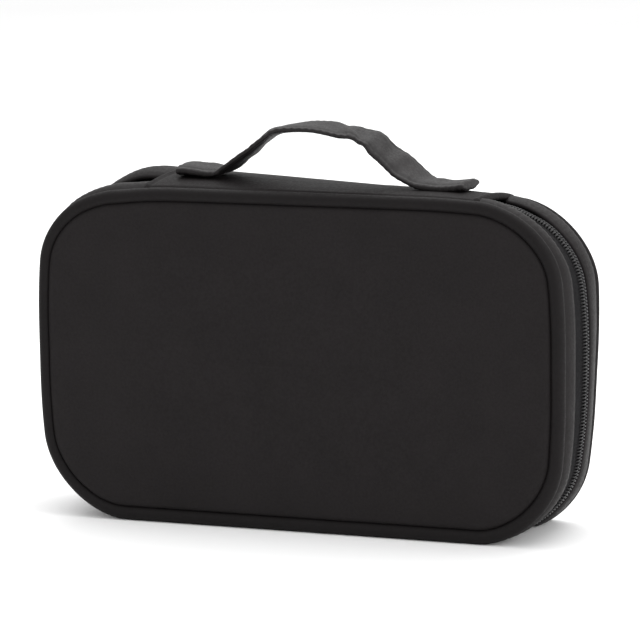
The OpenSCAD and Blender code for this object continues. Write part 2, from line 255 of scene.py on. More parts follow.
class Bag:
    """Several closed shapes gathered into one piece."""
    def __init__(self):
        self.v, self.f, self.u, self.n = [], [], [], 0
    def add(self, v, f, u):
        self.v.append(np.asarray(v, float)); self.u.append(np.asarray(u, float))
        self.f += [[q + self.n for q in r] for r in f]
        self.n += len(v)
        return self
    def make(self, name, mat, **kw):
        return make(name, np.vstack(self.v), self.f, mat, uv=np.vstack(self.u), **kw)

def tube(name, pts, r, mat, sides=8, closed=False, up=None, **kw):
    """A tube along a line of points."""
    v, f, u = tube_geo(pts, r, sides, closed, up)
    return make(name, v, f, mat, uv=u, **kw)

def tube_geo(pts, r, sides=8, closed=False, up=None):
    pts = np.asarray(pts, float); n = len(pts)
    if closed:
        t = np.roll(pts, -1, 0) - np.roll(pts, 1, 0)
    else:
        t = np.gradient(pts, axis=0)
    t /= np.linalg.norm(t, axis=1)[:, None]
    ref = np.array([0, 1, 0.001]) if up is None else np.asarray(up, float)
    ref = np.broadcast_to(ref, t.shape)
    b = np.cross(t, ref); b /= np.linalg.norm(b, axis=1)[:, None] + 1e-12
    c = np.cross(b, t)
    r = np.broadcast_to(np.asarray(r, float), (n,))
    a = np.linspace(0, 2 * np.pi, sides, endpoint=False)
    v = pts[:, None] + r[:, None, None] * (np.cos(a)[None, :, None] * b[:, None] + np.sin(a)[None, :, None] * c[:, None])
    f = grid_faces(n, sides, closed, True)
    if not closed:
        f += [list(range(sides)), [(n - 1) * sides + i for i in range(sides)][::-1]]
    d = np.r_[0, np.cumsum(np.linalg.norm(np.diff(pts, axis=0), axis=1))]
    uv = np.stack(np.broadcast_arrays(d[:, None], (a * np.mean(r))[None, :]), -1).reshape(-1, 2)
    return v.reshape(-1, 3), f, uv

def stitches(name, pts, nrm, mat, length=2.3, gap=0.9, r=0.24, **kw):
    """A row of lock stitches along a line of points, lying on the surface whose outward direction is nrm."""
    v, f, u = stitch_geo(pts, nrm, length, gap, r)
    return make(name, v, f, mat, uv=u, **kw)

def stitch_geo(pts, nrm, length=2.3, gap=0.9, r=0.24):
    pts = np.asarray(pts, float); nrm = np.asarray(nrm, float)
    d = np.r_[0, np.cumsum(np.linalg.norm(np.diff(pts, axis=0), axis=1))]
    n = max(2, int(d[-1] / (length + gap)))
    V, F, U = [], [], []
    prof = [(-0.5, -0.55, 0.35), (-0.40, 0.05, 0.8), (-0.15, 0.32, 1.0), (0.15, 0.32, 1.0), (0.40, 0.05, 0.8), (0.5, -0.55, 0.35)]
    sides = 6
    for i in range(n):
        c = (i + 0.5) * d[-1] / n
        row = []
        for u, lift, rr in prof:
            q = c + u * length
            p = np.array([np.interp(q, d, pts[:, k]) for k in range(3)])
            w = np.array([np.interp(q, d, nrm[:, k]) for k in range(3)]); w /= np.linalg.norm(w)
            row.append((p + w * lift * r * 1.3, w, rr))
        t = row[-1][0] - row[0][0]; t /= np.linalg.norm(t)
        b0 = len(V)
        for p, w, rr in row:
            side = np.cross(t, w); side /= np.linalg.norm(side)
            for k in range(sides):
                a = 2 * math.pi * k / sides
                V.append(p + r * rr * (math.cos(a) * side + math.sin(a) * w)); U.append((c, a))
        F += grid_faces(len(prof), sides, False, True, b0)
        F += [[b0 + k for k in range(sides)], [b0 + (len(prof) - 1) * sides + k for k in range(sides)][::-1]]
    return np.array(V), F, np.array(U, float)

# ------------------------------------------------------------------ materials
def new_mat(name):
    mt = bpy.data.materials.new(name); mt.use_nodes = True
    nt = mt.node_tree; nt.nodes.clear()
    out = nt.nodes.new("ShaderNodeOutputMaterial")
    b = nt.nodes.new("ShaderNodeBsdfPrincipled")
    nt.links.new(b.outputs[0], out.inputs[0])
    return mt, nt, b

def node(nt, kind, **kw):
    n = nt.nodes.new(kind)
    for k, v in kw.items():
        setattr(n, k, v)
    return n

def math_node(nt, op, a, b=None, clamp=False):
    n = node(nt, "ShaderNodeMath", operation=op); n.use_clamp = clamp
    for i, x in enumerate((a, b)):
        if x is None: continue
        if isinstance(x, (int, float)): n.inputs[i].default_value = x
        else: nt.links.new(x, n.inputs[i])
    return n.outputs[0]

def ramp(nt, fac, stops):
    r = node(nt, "ShaderNodeValToRGB")
    el = r.color_ramp.elements
    while len(el) < len(stops): el.new(0.5)
    for e, (p, c) in zip(el, stops):
        e.position = p; e.color = (*c, 1) if len(c) == 3 else c
    nt.links.new(fac, r.inputs[0])
    return r.outputs[0]

def fabric(name, col, rough=0.7, pitch=(0.42, 0.42), bump=0.35, depth=0.05, spec=0.2, sheen=0.0, mottle=0.18, crease=0.0, rib=False, coarse=0.0):
    """Woven cloth: over-and-under threads on the piece's own UV, slubs, soft colour drift, and long shallow creases."""
    mt, nt, b = new_mat(name)
    uvn = node(nt, "ShaderNodeUVMap", uv_map="UVMap")
    obj = node(nt, "ShaderNodeTexCoord")
    def wave(axis, p):
        w = node(nt, "ShaderNodeTexWave", wave_type="BANDS", bands_direction=axis, wave_profile="SIN")
        w.inputs["Scale"].default_value = 31.4159 / p
        w.inputs["Distortion"].default_value = 0.0
        w.inputs["Detail"].default_value = 0.0
        nt.links.new(uvn.outputs[0], w.inputs[0])
        return w.outputs["Fac"]
    wx, wy = wave("X", pitch[0]), wave("Y", pitch[1])
    if rib:
        weave = math_node(nt, "ADD", math_node(nt, "MULTIPLY", wx, 0.8), math_node(nt, "MULTIPLY", wy, 0.2))
    else:
        cx, cy = math_node(nt, "SUBTRACT", wx, 0.5), math_node(nt, "SUBTRACT", wy, 0.5)
        weave = math_node(nt, "ADD", math_node(nt, "MULTIPLY", math_node(nt, "MULTIPLY", cx, cy), 2.0), 0.5)
    n1 = node(nt, "ShaderNodeTexNoise"); n1.inputs["Scale"].default_value = 55.0; n1.inputs["Detail"].default_value = 4.0
    nt.links.new(obj.outputs["Object"], n1.inputs[0])
    n2 = node(nt, "ShaderNodeTexNoise"); n2.inputs["Scale"].default_value = 900.0; n2.inputs["Detail"].default_value = 2.0
    nt.links.new(obj.outputs["Object"], n2.inputs[0])
    lo = tuple(c * (1 - mottle) for c in col); hi = tuple(c * (1 + mottle) for c in col)
    drift = ramp(nt, n1.outputs["Fac"], [(0.3, lo), (0.7, hi)])
    thread = ramp(nt, weave, [(0.15, (0.62,) * 3), (0.8, (1.12,) * 3)])
    mix = node(nt, "ShaderNodeMix", data_type="RGBA", blend_type="MULTIPLY")
    mix.inputs[0].default_value = 0.85
    nt.links.new(drift, mix.inputs[6]); nt.links.new(thread, mix.inputs[7])
    nt.links.new(mix.outputs[2], b.inputs["Base Color"])
    rr = ramp(nt, n2.outputs["Fac"], [(0.3, (rough - 0.08,) * 3), (0.7, (min(rough + 0.08, 1),) * 3)])
    nt.links.new(rr, b.inputs["Roughness"])
    b.inputs["Specular IOR Level"].default_value = spec
    if sheen:
        b.inputs["Sheen Weight"].default_value = sheen
        b.inputs["Sheen Roughness"].default_value = 0.45
    h = math_node(nt, "ADD", weave, math_node(nt, "MULTIPLY", n2.outputs["Fac"], 0.5))
    bp = node(nt, "ShaderNodeBump"); bp.inputs["Strength"].default_value = bump; bp.inputs["Distance"].default_value = depth * MM
    nt.links.new(h, bp.inputs["Height"])
    last = bp
    if crease:
        n3 = node(nt, "ShaderNodeTexNoise"); n3.inputs["Scale"].default_value = 38.0; n3.inputs["Detail"].default_value = 3.0
        n3.inputs["Distortion"].default_value = 0.6
        nt.links.new(obj.outputs["Object"], n3.inputs[0])
        b2 = node(nt, "ShaderNodeBump"); b2.inputs["Strength"].default_value = crease; b2.inputs["Distance"].default_value = 1.6 * MM
        nt.links.new(n3.outputs["Fac"], b2.inputs["Height"]); nt.links.new(bp.outputs[0], b2.inputs["Normal"])
        last = b2
    nt.links.new(last.outputs[0], b.inputs["Normal"])
    return mt

def plastic(name, col, rough=0.35, spec=0.4, metal=0.0, scratch=0.3, coat=0.0):
    mt, nt, b = new_mat(name)
    obj = node(nt, "ShaderNodeTexCoord")
    n1 = node(nt, "ShaderNodeTexNoise"); n1.inputs["Scale"].default_value = 350.0; n1.inputs["Detail"].default_value = 5.0
    nt.links.new(obj.outputs["Object"], n1.inputs[0])
    n2 = node(nt, "ShaderNodeTexNoise"); n2.inputs["Scale"].default_value = 90.0; n2.inputs["Detail"].default_value = 3.0
    nt.links.new(obj.outputs["Object"], n2.inputs[0])
    c = ramp(nt, n2.outputs["Fac"], [(0.3, tuple(x * 0.8 for x in col)), (0.7, tuple(x * 1.25 for x in col))])
    nt.links.new(c, b.inputs["Base Color"])
    r = ramp(nt, n1.outputs["Fac"], [(0.3, (rough * 0.8,) * 3), (0.75, (min(1, rough * 1.35),) * 3)])
    nt.links.new(r, b.inputs["Roughness"])
    b.inputs["Specular IOR Level"].default_value = spec
    b.inputs["Metallic"].default_value = metal
    if coat:
        b.inputs["Coat Weight"].default_value = coat; b.inputs["Coat Roughness"].default_value = 0.15
    bp = node(nt, "ShaderNodeBump"); bp.inputs["Strength"].default_value = scratch; bp.inputs["Distance"].default_value = 0.03 * MM
    nt.links.new(n1.outputs["Fac"], bp.inputs["Height"]); nt.links.new(bp.outputs[0], b.inputs["Normal"])
    return mt

BLK = (0.0105, 0.0087, 0.0090)
M_PANEL = fabric("nylon_panel", BLK, rough=0.72, pitch=(0.40, 0.40), bump=0.30, spec=0.16, mottle=0.10)
# painted shade: the piping is the same black nylon as the panel, drawn at 0.72 of BLK so that it reads dark, as it does
# in the shade beside the panel's groove
M_PIPE = fabric("nylon_piping", tuple(c * 0.72 for c in BLK), rough=0.62, pitch=(0.40, 0.40), bump=0.30, spec=0.13, mottle=0.12, crease=0.05)
# painted shade: the gusset (0.95 of BLK) and the top panel (0.85 of BLK) are the same black nylon, drawn darker to hold
# down the light that falls on them
M_GUS = fabric("nylon_gusset", tuple(c * 0.95 for c in BLK), rough=0.60, pitch=(0.42, 0.42), bump=0.32, spec=0.15, mottle=0.15, crease=0.12)
M_TOP = fabric("nylon_top", tuple(c * 0.85 for c in BLK), rough=0.66, pitch=(0.42, 0.42), bump=0.32, spec=0.10, mottle=0.15, crease=0.14)
M_STRAP = fabric("nylon_strap", tuple(c * 1.02 for c in BLK), rough=0.58, pitch=(0.42, 0.42), bump=0.40, spec=0.26, mottle=0.18, crease=0.22)
M_LIN = fabric("lining_polyester", (0.050, 0.050, 0.054), rough=0.5, pitch=(0.3, 0.3), bump=0.2, spec=0.3, mottle=0.12, crease=0.08)
M_ELA = fabric("elastic_webbing", (0.016, 0.016, 0.017), rough=0.75, pitch=(1.1, 0.45), bump=0.8, depth=0.16, spec=0.2, mottle=0.15, rib=True)
M_BIND = fabric("grosgrain_binding", (0.014, 0.0135, 0.014), rough=0.7, pitch=(0.8, 0.3), bump=0.7, depth=0.10, spec=0.2, mottle=0.15, rib=True)
# painted shade: the zip tape is drawn darker than the nylon so that it reads as the shadow in the slot between the
# gusset and the coil
M_TAPE = fabric("zip_tape", (0.0055, 0.0050, 0.0058), rough=0.85, pitch=(0.5, 0.35), bump=0.6, depth=0.08, spec=0.15, mottle=0.15)
M_THREAD = fabric("thread", (0.016, 0.0145, 0.015), rough=0.55, pitch=(0.25, 0.5), bump=0.5, spec=0.3, mottle=0.2)
M_NET = fabric("mesh_yarn", (0.020, 0.020, 0.021), rough=0.65, pitch=(0.3, 0.3), bump=0.4, spec=0.25, mottle=0.15)
M_COIL = plastic("zip_coil_nylon", (0.0095, 0.0088, 0.0095), rough=0.46, spec=0.28, scratch=0.1)
M_ZINC = plastic("enamelled_zinc", (0.014, 0.0135, 0.014), rough=0.28, spec=0.5, scratch=0.25, coat=0.3)
M_STEEL = plastic("pin_steel", (0.10, 0.10, 0.10), rough=0.3, spec=0.5, metal=1.0, scratch=0.2)

# ------------------------------------------------------------------ the two trays
C_PATH = np.linspace(0.0, LC, 560)       # the three sides that the zip runs round
RING = np.linspace(0, LEN, 760, endpoint=False)

def side_mask(s):
    """1 on the short sides and corners, 0 along the bottom, where the case is flat on the ground."""
    p, _ = at(s)
    return smooth(p[:, 1] / 26.0)

def corner_mask(s):
    p, n = at(s)
    return smooth(np.minimum(np.abs(n[:, 0]), np.abs(n[:, 1])) / 0.35)

def bulge(s, seed):
    """How far the side walls swell."""
    p, _ = at(s)
    return (0.25 + (1.15 - 0.75 * smooth((p[:, 0] - 60) / 40)) * side_mask(s)) * (1 + 0.12 * wob(s, seed, 26)) - 0.25

def panel(name, sgn, body, node_names):
    ins = [5.0, 5.4, 5.8, 6.2, 6.6, 7.1, 7.7, 8.6, 10, 12.4, 15, 18]
    hgt = lambda i: HD - 3.6 + 3.5 * (1 - np.exp(-(np.asarray(i) - 5.0) / 0.85))
    s = np.linspace(0, LEN, 360, endpoint=False)
    p, n = at(s)
    rows, depth = [], []
    e = (0.1 * np.maximum(n[:, 0], 0) - 0.7 * np.maximum(-n[:, 0], 0) + 0.0 * np.maximum(n[:, 1], 0) + 0.7 * np.maximum(-n[:, 1], 0)) / (np.abs(n).sum(1))
    for i in ins:
        rows.append(p - n * (i + e)[:, None]); depth.append(np.full(len(s), i))
    last = rows[-1]
    tgt = np.c_[np.clip(last[:, 0], -48, 48), np.full(len(s), HT / 2)]
    for a in np.linspace(0, 1, 14)[1:]:
        a2 = min(a, 0.985)
        rows.append(last * (1 - a2) + tgt * a2); depth.append(18 + a2 * 56 + np.zeros(len(s)))
    V, U = [], []
    for q, dd in zip(rows, depth):
        x, z = q[:, 0], q[:, 1]
        dome = 1.1 * np.clip(1 - (x / 118) ** 2, 0, 1) * np.clip(1 - ((z - HT / 2) / 72) ** 2, 0, 1) ** 0.8
        ripple = 0.16 * np.sin(x / 31 + 0.5 + sgn) * np.sin(z / 24 + 1.1) * smooth((dd - 5) / 12)
        edge = 0.10 * wob(np.arange(len(s)) * LEN / len(s), 3 + sgn, 7) * np.exp(-((dd - 7.2) / 2.2) ** 2)
        y = hgt(dd) + dome + ripple + edge
        V.append(np.c_[x, sgn * y, z]); U.append(np.c_[x + 150, z])
    k = len(V)
    # the hidden back of the panel closes the solid
    for q in rows[::-1]:
        V.append(np.c_[q[:, 0], np.full(len(s), sgn * (HD - 4.2)), q[:, 1]]); U.append(np.c_[q[:, 0] + 150, q[:, 1]])
    n_s = len(s)
    f = grid_faces(2 * k, n_s, True, True)
    # leave out the band that would join the two inner rings across the middle; cap them instead
    f = [q for q in f if not (set(q) & set(range((k - 1) * n_s, k * n_s)) and set(q) & set(range(k * n_s, (k + 1) * n_s)))]
    f.append(list(range((k - 1) * n_s, k * n_s))); f.append(list(range(k * n_s, (k + 1) * n_s))[::-1])
    o = make(name, np.vstack(V), f, M_PANEL, body=body, uv=np.vstack(U), replaces=node_names, slot="shell_fabric")
    return o

def piping(name, sgn, body, node_name):
    s = RING; a = np.linspace(0, 2 * np.pi, 18, endpoint=False)
    cm = corner_mask(s)
    r = PR * (1 + 0.012 * wob(s, 5 + sgn, 11))[:, None] * np.ones((1, 18))
    gather = 0.07 * cm[:, None] * np.sin(s * 2 * np.pi / 2.6 + 1.3 * np.sin(s / 9))[:, None] * (0.5 - 0.5 * np.cos(a))[None, :]
    r = r + gather
    r *= 1 - 0.05 * np.cos(2 * (a - 0.8))[None, :]
    _, nn = at(s)
    e = (0.08 * np.maximum(nn[:, 0], 0) - 0.02 * np.maximum(-nn[:, 0], 0) + 0.08 * np.maximum(nn[:, 1], 0) + 0.17 * np.maximum(-nn[:, 1], 0)) / (np.abs(nn).sum(1))
    prof = np.stack([(PR - r * np.cos(a)[None, :]) * (1 + e)[:, None], HD - PR + r * np.sin(a)[None, :]], -1)
    return sweep(name, s, prof, M_PIPE, closed=True, sgn=sgn, body=body, replaces=(node_name,), slot="piping")

HEM = {-1: 3.0, 1: 0.3}     # how far the hem is rolled back from the cut edge, front and back
def gusset(name, sgn, body, node_name):
    s = C_PATH
    b = bulge(s, 7 + sgn); w1 = wob(s, 11 + sgn, 9); cm = corner_mask(s)
    g = 0.10 * cm * np.sin(s * 2 * np.pi / 3.1 + np.sin(s / 7)) + 0.10 * w1
    E = GE + HEM[sgn]
    y = np.array([G1 + 0.9, G1 + 0.3, G1 - 0.4, G1 - 1.2, G1 - 2.4, G1 - 4.0, G1 - 5.8, G1 - 7.6, G1 - 9.2, G1 - 10.6, G1 - 11.8, E + 1.3, E + 0.6, E + 0.15, E, E + 0.25, E + 0.9,
                  E + 2.4, E + 4.2, E + 6.5, 18, 20.5, G1 + 0.9])
    base = np.array([1.6, 1.05, 0.75, 0.42, 0.10, -0.05, -0.05, 0.02, 0.12, 0.26, 0.42, 0.62, 0.85, 1.25, 1.8, 2.5, 2.85,
                     2.6, 1.9, 1.8, 1.8, 1.9, 2.3])
    swell = np.array([0, 0, .05, .3, .7, 1, 1.05, .95, .75, .5, .32, .15, .05, 0, 0, 0, 0, 0, .2, .4, .4, .1, 0])
    ripple = np.array([0, .2, .5, .9, 1, 1, 1, 1, 1, 1, 1, .8, .6, .4, .2, 0, 0, 0, 0, 0, 0, 0, 0])
    ins = base[None, :] - swell[None, :] * np.maximum(b, 0)[:, None] + ripple[None, :] * g[:, None]
    y[10] = max(y[10], E + 1.9); y[9] = max(y[9], E + 2.7); y[8] = max(y[8], E + 3.6)
    prof = np.stack(np.broadcast_arrays(ins, y[None, :]), -1)
    return sweep(name, s, prof, M_GUS, sgn=sgn, body=body, replaces=(node_name,), slot="gusset_fabric")

def coil_in(s):
    """The coil's outer face: recessed on the left, where the sliders run, and almost level on the other sides."""
    p, _ = at(s)
    x, zc = p[..., 0], p[..., 1] - HT / 2
    # along the straight run on the left it stays true to the sliders' line of travel
    true_ = smooth((-x - 96) / 12) * smooth((47 - np.abs(zc)) / 10) * ((x + A) + zc * math.sin(math.radians(TW / 2)))
    # its two ends dip under the top panel, clear of the divider page when the case opens
    dip = smooth((zc - 60) / 9) * smooth((108 - np.abs(x)) / 14)
    proud = 0.2 * smooth((x - 94) / 14) * smooth((zc + 60) / 20)
    return 2.25 - 1.6 * smooth((x + 40) / 130) - proud - true_ + dip * (0.2 + 0.8 * smooth(x / 40))

def zip_tape(name, sgn, body, node_name):
    s = np.linspace(0.6, LC - 0.6, 420)
    ci = coil_in(s)[:, None]
    y = np.array([0.95, 1.2, 4, 8.6, 13.4, 13.4, 8.6, 4, 1.2])
    base = np.array([1.5, 1.25, 1.3, 1.3, 1.3, 1.9, 1.9, 1.9, 1.85])
    ci = ci - 0.7 * (1 - smooth(np.minimum(s, LC - s) / 16))[:, None]
    prof = np.stack(np.broadcast_arrays(ci + base[None, :] + np.array([0, 0, 0, .3, .8, .8, .3, 0, 0])[None, :] * 0.6, y[None, :]), -1)
    return sweep(name, s, prof, M_TAPE, sgn=sgn, body=body, replaces=(node_name,), slot="zip_tape")

def zip_coil(name, sgn, body, node_name):
    pitch, per = 1.45, 10
    turns = int((LC - 3) / pitch)
    ph = np.arange(turns * per) / per                    # in turns
    s = 1.5 + (ph + (0.5 if sgn < 0 else 0.0)) * pitch
    a = 2 * np.pi * (ph % 1)
    # flat oval turn: the head crosses the middle, the far side sits on the tape
    ny = 1.62 + 1.82 * np.sign(np.cos(a)) * np.abs(np.cos(a)) ** 0.75 * -1
    ni = coil_in(s) + 1.30 - 0.93 * np.sign(np.sin(a)) * np.abs(np.sin(a)) ** 0.8
    p, n = at(s)
    c = np.c_[p[:, 0] - n[:, 0] * ni, sgn * ny, p[:, 1] - n[:, 1] * ni]
    rad = 0.36 + 0.07 * (np.cos(a) > 0.5)
    t_up = np.c_[n[:, 0], np.zeros(len(n)), n[:, 1]] * 0.3 + np.c_[n[:, 1] * -1, np.zeros(len(n)), n[:, 0]]
    return tube(name, c, rad, M_COIL, sides=6, up=t_up, body=body, replaces=(node_name,), slot="zip_coil")

def ring_stitches(name, s, ins, y, sgn, body, n_out, lift=0.0, **kw):
    p, n = at(s)
    ins = np.broadcast_to(ins, s.shape)
    pts = np.c_[p[:, 0] - n[:, 0] * (ins - lift), sgn * np.full(len(s), y), p[:, 1] - n[:, 1] * (ins - lift)]
    nn = np.c_[n[:, 0] * n_out[0], np.full(len(s), sgn * n_out[1]), n[:, 1] * n_out[0]]
    return stitches(name, pts, nn, M_THREAD, body=body, slot="thread", **kw)

for tag, sgn, body in (("back", 1, "back_half"), ("front", -1, "front_half")):
    panel(f"{tag}_panel_cover", sgn, body, (f"{tag}_panel", f"{tag}_foam_board"))
    piping(f"{tag}_piping_cord", sgn, body, f"{tag}_piping")
    gusset(f"{tag}_gusset_cloth", sgn, body, f"{tag}_gusset")
    zip_tape(f"{tag}_tape_cloth", sgn, body, f"{tag}_zip_tape")
    zip_coil(f"{tag}_coil_teeth", sgn, body, f"{tag}_zip_coil")
    s = np.linspace(2, LC - 2, 400)
    b = np.maximum(bulge(s, 7 + sgn), 0)
    ring_stitches(f"{tag}_hem_stitch", s, 0.70 - 0.15 * b, GE + HEM[sgn] + 1.5, sgn, body, (1, -0.25), lift=-0.02, length=1.9, gap=0.8, r=0.15)

# ------------------------------------------------------------------ top panel, in two pieces
def top_height(x, y):
    e = np.abs(y) / (G1 + 0.6)
    crown = 1.9 * (1 - np.clip(e, 0, 1) ** 2.2)
    tuck = -1.1 * smooth((np.abs(y) - (G1 - 1.2)) / 2.0)
    mid = -0.7 * np.exp(-((x - SHIFT) / 30) ** 2) * (1 - e ** 2)
    wr = 0.22 * np.sin(x / 8.2 + 0.05 * y) * np.exp(-((np.abs(x - SHIFT) - 64) / 14) ** 2) * smooth(1.15 - e)
    wr2 = 0.10 * wob(x, 21, 9) * smooth((G1 - np.abs(y)) / 6)
    return HT + 0.15 + crown + tuck + mid + wr + wr2

def top_piece(name, sgn, nodes):
    nx, ny = 190, 34
    x = np.linspace(SEAM_L - 0.8, SEAM_R + 0.8, nx)
    y = np.linspace(0, G1 + 0.7, ny)
    X, Y = np.meshgrid(x, y, indexing="ij")
    # end seams lean in towards the back a little, as sewn
    end = np.minimum(X - x[0], x[-1] - X)
    roll = -1.3 * (1 - smooth(end / 1.1)) + 0.55 * np.exp(-((end - 1.6) / 1.3) ** 2) - 0.25 * np.exp(-((end - 3.6) / 0.7) ** 2)
    Z = top_height(X, Y) + roll
    up = np.stack([X, sgn * Y, Z], -1)
    dn = np.stack([X, sgn * Y, Z - 1.3], -1)
    V = np.vstack([up.reshape(-1, 3), dn.reshape(-1, 3)])
    n = nx * ny
    f = grid_faces(nx, ny)
    g = [[q + n for q in r][::-1] for r in f]
    rim = [(i * ny) for i in range(nx)] + [(nx - 1) * ny + j for j in range(1, ny)] + [i * ny + ny - 1 for i in range(nx - 2, -1, -1)] + [j for j in range(ny - 2, 0, -1)]
    h = [[rim[i], rim[(i + 1) % len(rim)], rim[(i + 1) % len(rim)] + n, rim[i] + n] for i in range(len(rim))]
    uv = np.tile(np.c_[X.ravel() + 150, (sgn * Y).ravel() + 50], (2, 1))
    o = make(name, V, f + g + h, M_TOP, uv=uv, replaces=nodes, slot="top_fabric")
    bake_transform(o)
    return o

top_piece("top_panel_cloth_back", 1, ("top_panel_back", "top_panel_middle"))
top_piece("top_panel_cloth_front", -1, ("top_panel_front",))

# ------------------------------------------------------------------ linings
def disc(rows_in, rows_out):
    """A closed thin dish from rings of points, outermost ring first: one skin inside, one outside."""
    k, n = len(rows_in), len(rows_in[0])
    V = np.vstack(rows_in + rows_out[::-1])
    f = [q for q in grid_faces(2 * k, n, True, True) if not (min(q) < k * n and max(q) >= k * n and min(q) >= (k - 1) * n)]
    f.append(list(range((k - 1) * n, k * n))); f.append(list(range(k * n, (k + 1) * n))[::-1])
    return V, f

def lining(name, sgn, body, node_name):
    s = np.linspace(0, LEN, 420, endpoint=False)
    p, n = at(s)
    y0 = 6.0 + 6.7 * np.maximum(smooth((s - (LC - 3)) / 3), 1 - smooth(s / 3))
    skins, U = [], []
    for o in (0.25, -0.25):
        rows = []
        def put(ins, y):
            q = p - n * np.broadcast_to(ins, s.shape)[:, None]
            rows.append(np.c_[q[:, 0], np.zeros(len(s)) + y, q[:, 1]])
        hem = 0.35 if o > 0 else 0.0
        for t in np.linspace(0, 1, 12):
            y = y0 + (18.7 - y0) * t
            put(4.3 + o + hem * (t < 0.22) + 0.22 * np.sin(s / 6.5 + 3 * t) * math.sin(math.pi * t) * side_mask(s), y)
        for ph in np.radians([15, 35, 55, 75, 90]):
            put(7.3 - (3 - o) * math.cos(ph), 18.7 + (3 - o) * math.sin(ph))
        for i in (9, 12, 16, 20):
            put(i, 21.7 - o)
        q0 = p - n * 20
        tgt = np.c_[np.clip(q0[:, 0], -48, 48), np.full(len(s), HT / 2)]
        for a in np.linspace(0, 1, 12)[1:]:
            a2 = min(a, 0.985)
            q = q0 * (1 - a2) + tgt * a2
            rows.append(np.c_[q[:, 0], np.full(len(s), 21.7 - o), q[:, 1]])
        for i, r in enumerate(rows):
            if i > 16:
                x, z = r[:, 0], r[:, 2]
                edge = np.clip((i - 16) / 6, 0, 1)
                r[:, 1] -= edge * 0.22 * (1 + np.sin(x / 17 + z / 29 + sgn) * np.sin(z / 13 - x / 41))
        for r in rows:
            r[:, 1] *= sgn
        skins.append(rows)
    V, f = disc(skins[0], skins[1])
    uv = np.c_[V[:, 0] + 150 + V[:, 1] * np.sign(V[:, 0]), V[:, 2] + V[:, 1]]
    o = make(name, V, f, M_LIN, body=body, uv=uv, replaces=(node_name,), slot="lining")
    return o

lining("back_lining_cloth", 1, "back_half", "back_lining")
lining("front_lining_cloth", -1, "front_half", "front_lining")

def slab_sheet(name, X, Y, Z, N, t, mat, uv, **kw):
    """A closed thin sheet from a grid of points and a direction for its thickness."""
    nx, ny = X.shape
    P = np.stack([X, Y, Z], -1)
    N = np.broadcast_to(N, P.shape)
    V = np.vstack([(P + N * t / 2).reshape(-1, 3), (P - N * t / 2).reshape(-1, 3)])
    n = nx * ny
    f = grid_faces(nx, ny)
    g = [[q + n for q in r][::-1] for r in f]
    rim = [i * ny for i in range(nx)] + [(nx - 1) * ny + j for j in range(1, ny)] + [i * ny + ny - 1 for i in range(nx - 2, -1, -1)] + [j for j in range(ny - 2, 0, -1)]
    h = [[rim[i], rim[(i + 1) % len(rim)], rim[(i + 1) % len(rim)] + n, rim[i] + n] for i in range(len(rim))]
    return make(name, V, f + g + h, mat, uv=np.tile(uv, (2, 1)), **kw)

lo_t, hi_t = (np.array(v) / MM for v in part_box("top_lining"))
gx = np.linspace(lo_t[0], hi_t[0], 150); gy = np.linspace(lo_t[1], hi_t[1], 24)
X, Yg = np.meshgrid(gx, gy, indexing="ij")
Z = (lo_t[2] + hi_t[2]) / 2 + 0.12 * np.sin(X / 7.5) * np.sin(Yg / 4.5) + 0.25 * (np.abs(Yg) > 10.6)
o = slab_sheet("top_lining_cloth", X, Yg, Z, (0, 0, 1), 0.5, M_LIN, np.c_[X.ravel() + 100, Yg.ravel() + 100], body="top_strip", replaces=("top_lining",), slot="lining")

# ------------------------------------------------------------------ elastic loops
def loop_path(chords, land, rise):
    total = sum(chords) + land * (len(chords) + 1)
    x = -total / 2; pts = [(x, 0.45)]; lands = []
    for i in range(len(chords) + 1):
        lands.append((x, x + land))
        pts += [(x + land * t, 0.45) for t in (0.25, 0.5, 0.75)]
        x += land
        if i < len(chords):
            c = chords[i]; ri = rise * (1 - 0.02 * (i % 3))
            r = (c * c / 4 + ri * ri) / (2 * ri) - 0.45
            cx, cd = x + c / 2, ri - r - 0.45
            a = math.asin(min(1, (0.45 - cd) / r))
            for t in np.linspace(a, math.pi - a, max(24, int(c * 1.3)))[::-1]:
                pts.append((cx + r * math.cos(t), cd + r * math.sin(t)))
            x += c
    pts.append((x, 0.45))
    return np.array(pts), lands

